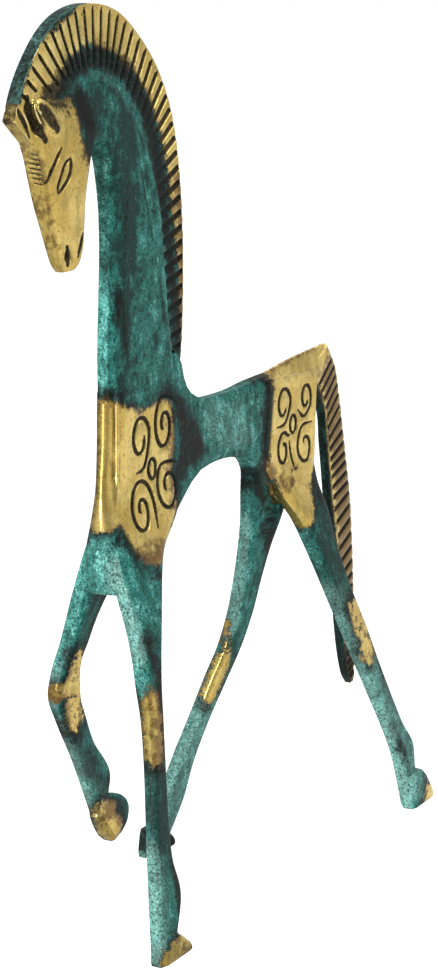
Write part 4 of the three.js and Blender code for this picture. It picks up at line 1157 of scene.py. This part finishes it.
def towards(azimuth, elevation):
    """The direction from the horse: azimuth 0 is in front of it, 90 on its left side."""
    a, e = math.radians(azimuth), math.radians(elevation)
    return Vector((math.sin(a) * math.cos(e), -math.cos(a) * math.cos(e), math.sin(e)))


def glow_by_side(tree, place, azimuth, start, end, first, last, seen):
    """The strength that lights the horse and mirrors in it goes from the first value to the last as
    the place turns from start to end towards the azimuth. The camera sees it even, as seen says."""
    turned = tree.nodes.new("ShaderNodeVectorMath")
    turned.operation = "DOT_PRODUCT"
    turned.inputs[1].default_value = towards(azimuth, 0)
    tree.links.new(place, turned.inputs[0])
    glow = tree.nodes.new("ShaderNodeMapRange")
    for key, number in zip(("From Min", "From Max", "To Min", "To Max"), (start, end, first, last)):
        glow.inputs[key].default_value = number
    tree.links.new(turned.outputs["Value"], glow.inputs["Value"])
    strength = tree.nodes.new("ShaderNodeMapRange")
    strength.inputs["To Max"].default_value = seen
    camera_ray = tree.nodes.new("ShaderNodeLightPath").outputs["Is Camera Ray"]
    tree.links.new(camera_ray, strength.inputs["Value"])
    tree.links.new(glow.outputs["Result"], strength.inputs["To Min"])
    return strength.outputs["Result"]


# Where the horse mirrors it, the floor is lit behind on the left and dim on the other side, which
# darkens the right edges of the metal
floor_tree = floor_paint.node_tree
way_out = floor_tree.nodes.new("ShaderNodeVectorMath")
way_out.operation = "NORMALIZE"
floor_tree.links.new(floor_tree.nodes.new("ShaderNodeTexCoord").outputs["Object"], way_out.inputs[0])
floor_glow = glow_by_side(
    floor_tree, way_out.outputs["Vector"], azimuth=135, start=0.2, end=0.75, first=0, last=0.55, seen=0.85
)
floor_tree.links.new(floor_glow, floor_shader.inputs["Emission Strength"])
floor.data.materials.append(floor_paint)

# The room is bright behind the horse and dim in front of it, where the camera stands
world = bpy.data.worlds.new("studio")
world.use_nodes = True
room = world.node_tree
backdrop = room.nodes["Background"]
backdrop.inputs["Color"].default_value = (1, 1, 1, 1)
way_out = room.nodes.new("ShaderNodeTexCoord").outputs["Generated"]
room_glow = glow_by_side(room, way_out, azimuth=20, start=-0.5, end=0.8, first=0.75, last=0.28, seen=1)
room.links.new(room_glow, backdrop.inputs["Strength"])
bpy.context.scene.world = world


def softbox(name, azimuth, elevation, distance, size, power):
    """A square soft light that looks at the horse."""
    way = towards(azimuth, elevation)
    light = bpy.data.lights.new(name, "AREA")
    light.size = size
    light.energy = power
    lamp = bpy.data.objects.new(name, light)
    lamp.location = AIM + way * distance
    lamp.rotation_euler = way.to_track_quat("Z", "Y").to_euler()
    bpy.context.scene.collection.objects.link(lamp)


softbox("key_light", azimuth=0, elevation=15, distance=1.3, size=0.5, power=20.0)
softbox("side_light", azimuth=100, elevation=45, distance=1.4, size=0.9, power=6.0)
softbox("back_light", azimuth=190, elevation=50, distance=1.5, size=0.8, power=5.0)

CAMERA_AZIMUTH, CAMERA_ELEVATION = 30, 12
CAMERA_DISTANCE = 2.5 * HEIGHT
camera_way = towards(CAMERA_AZIMUTH, CAMERA_ELEVATION)
camera_data = bpy.data.cameras.new("camera")
camera_data.lens = 81.93
camera_data.sensor_width = 36
camera_data.clip_start = 0.01
camera_data.clip_end = 200
camera = bpy.data.objects.new("camera", camera_data)
camera.location = AIM + camera_way * CAMERA_DISTANCE
camera.rotation_euler = camera_way.to_track_quat("Z", "Y").to_euler()
bpy.context.scene.collection.objects.link(camera)
bpy.context.scene.camera = camera
bpy.context.scene.view_settings.view_transform = "Standard"
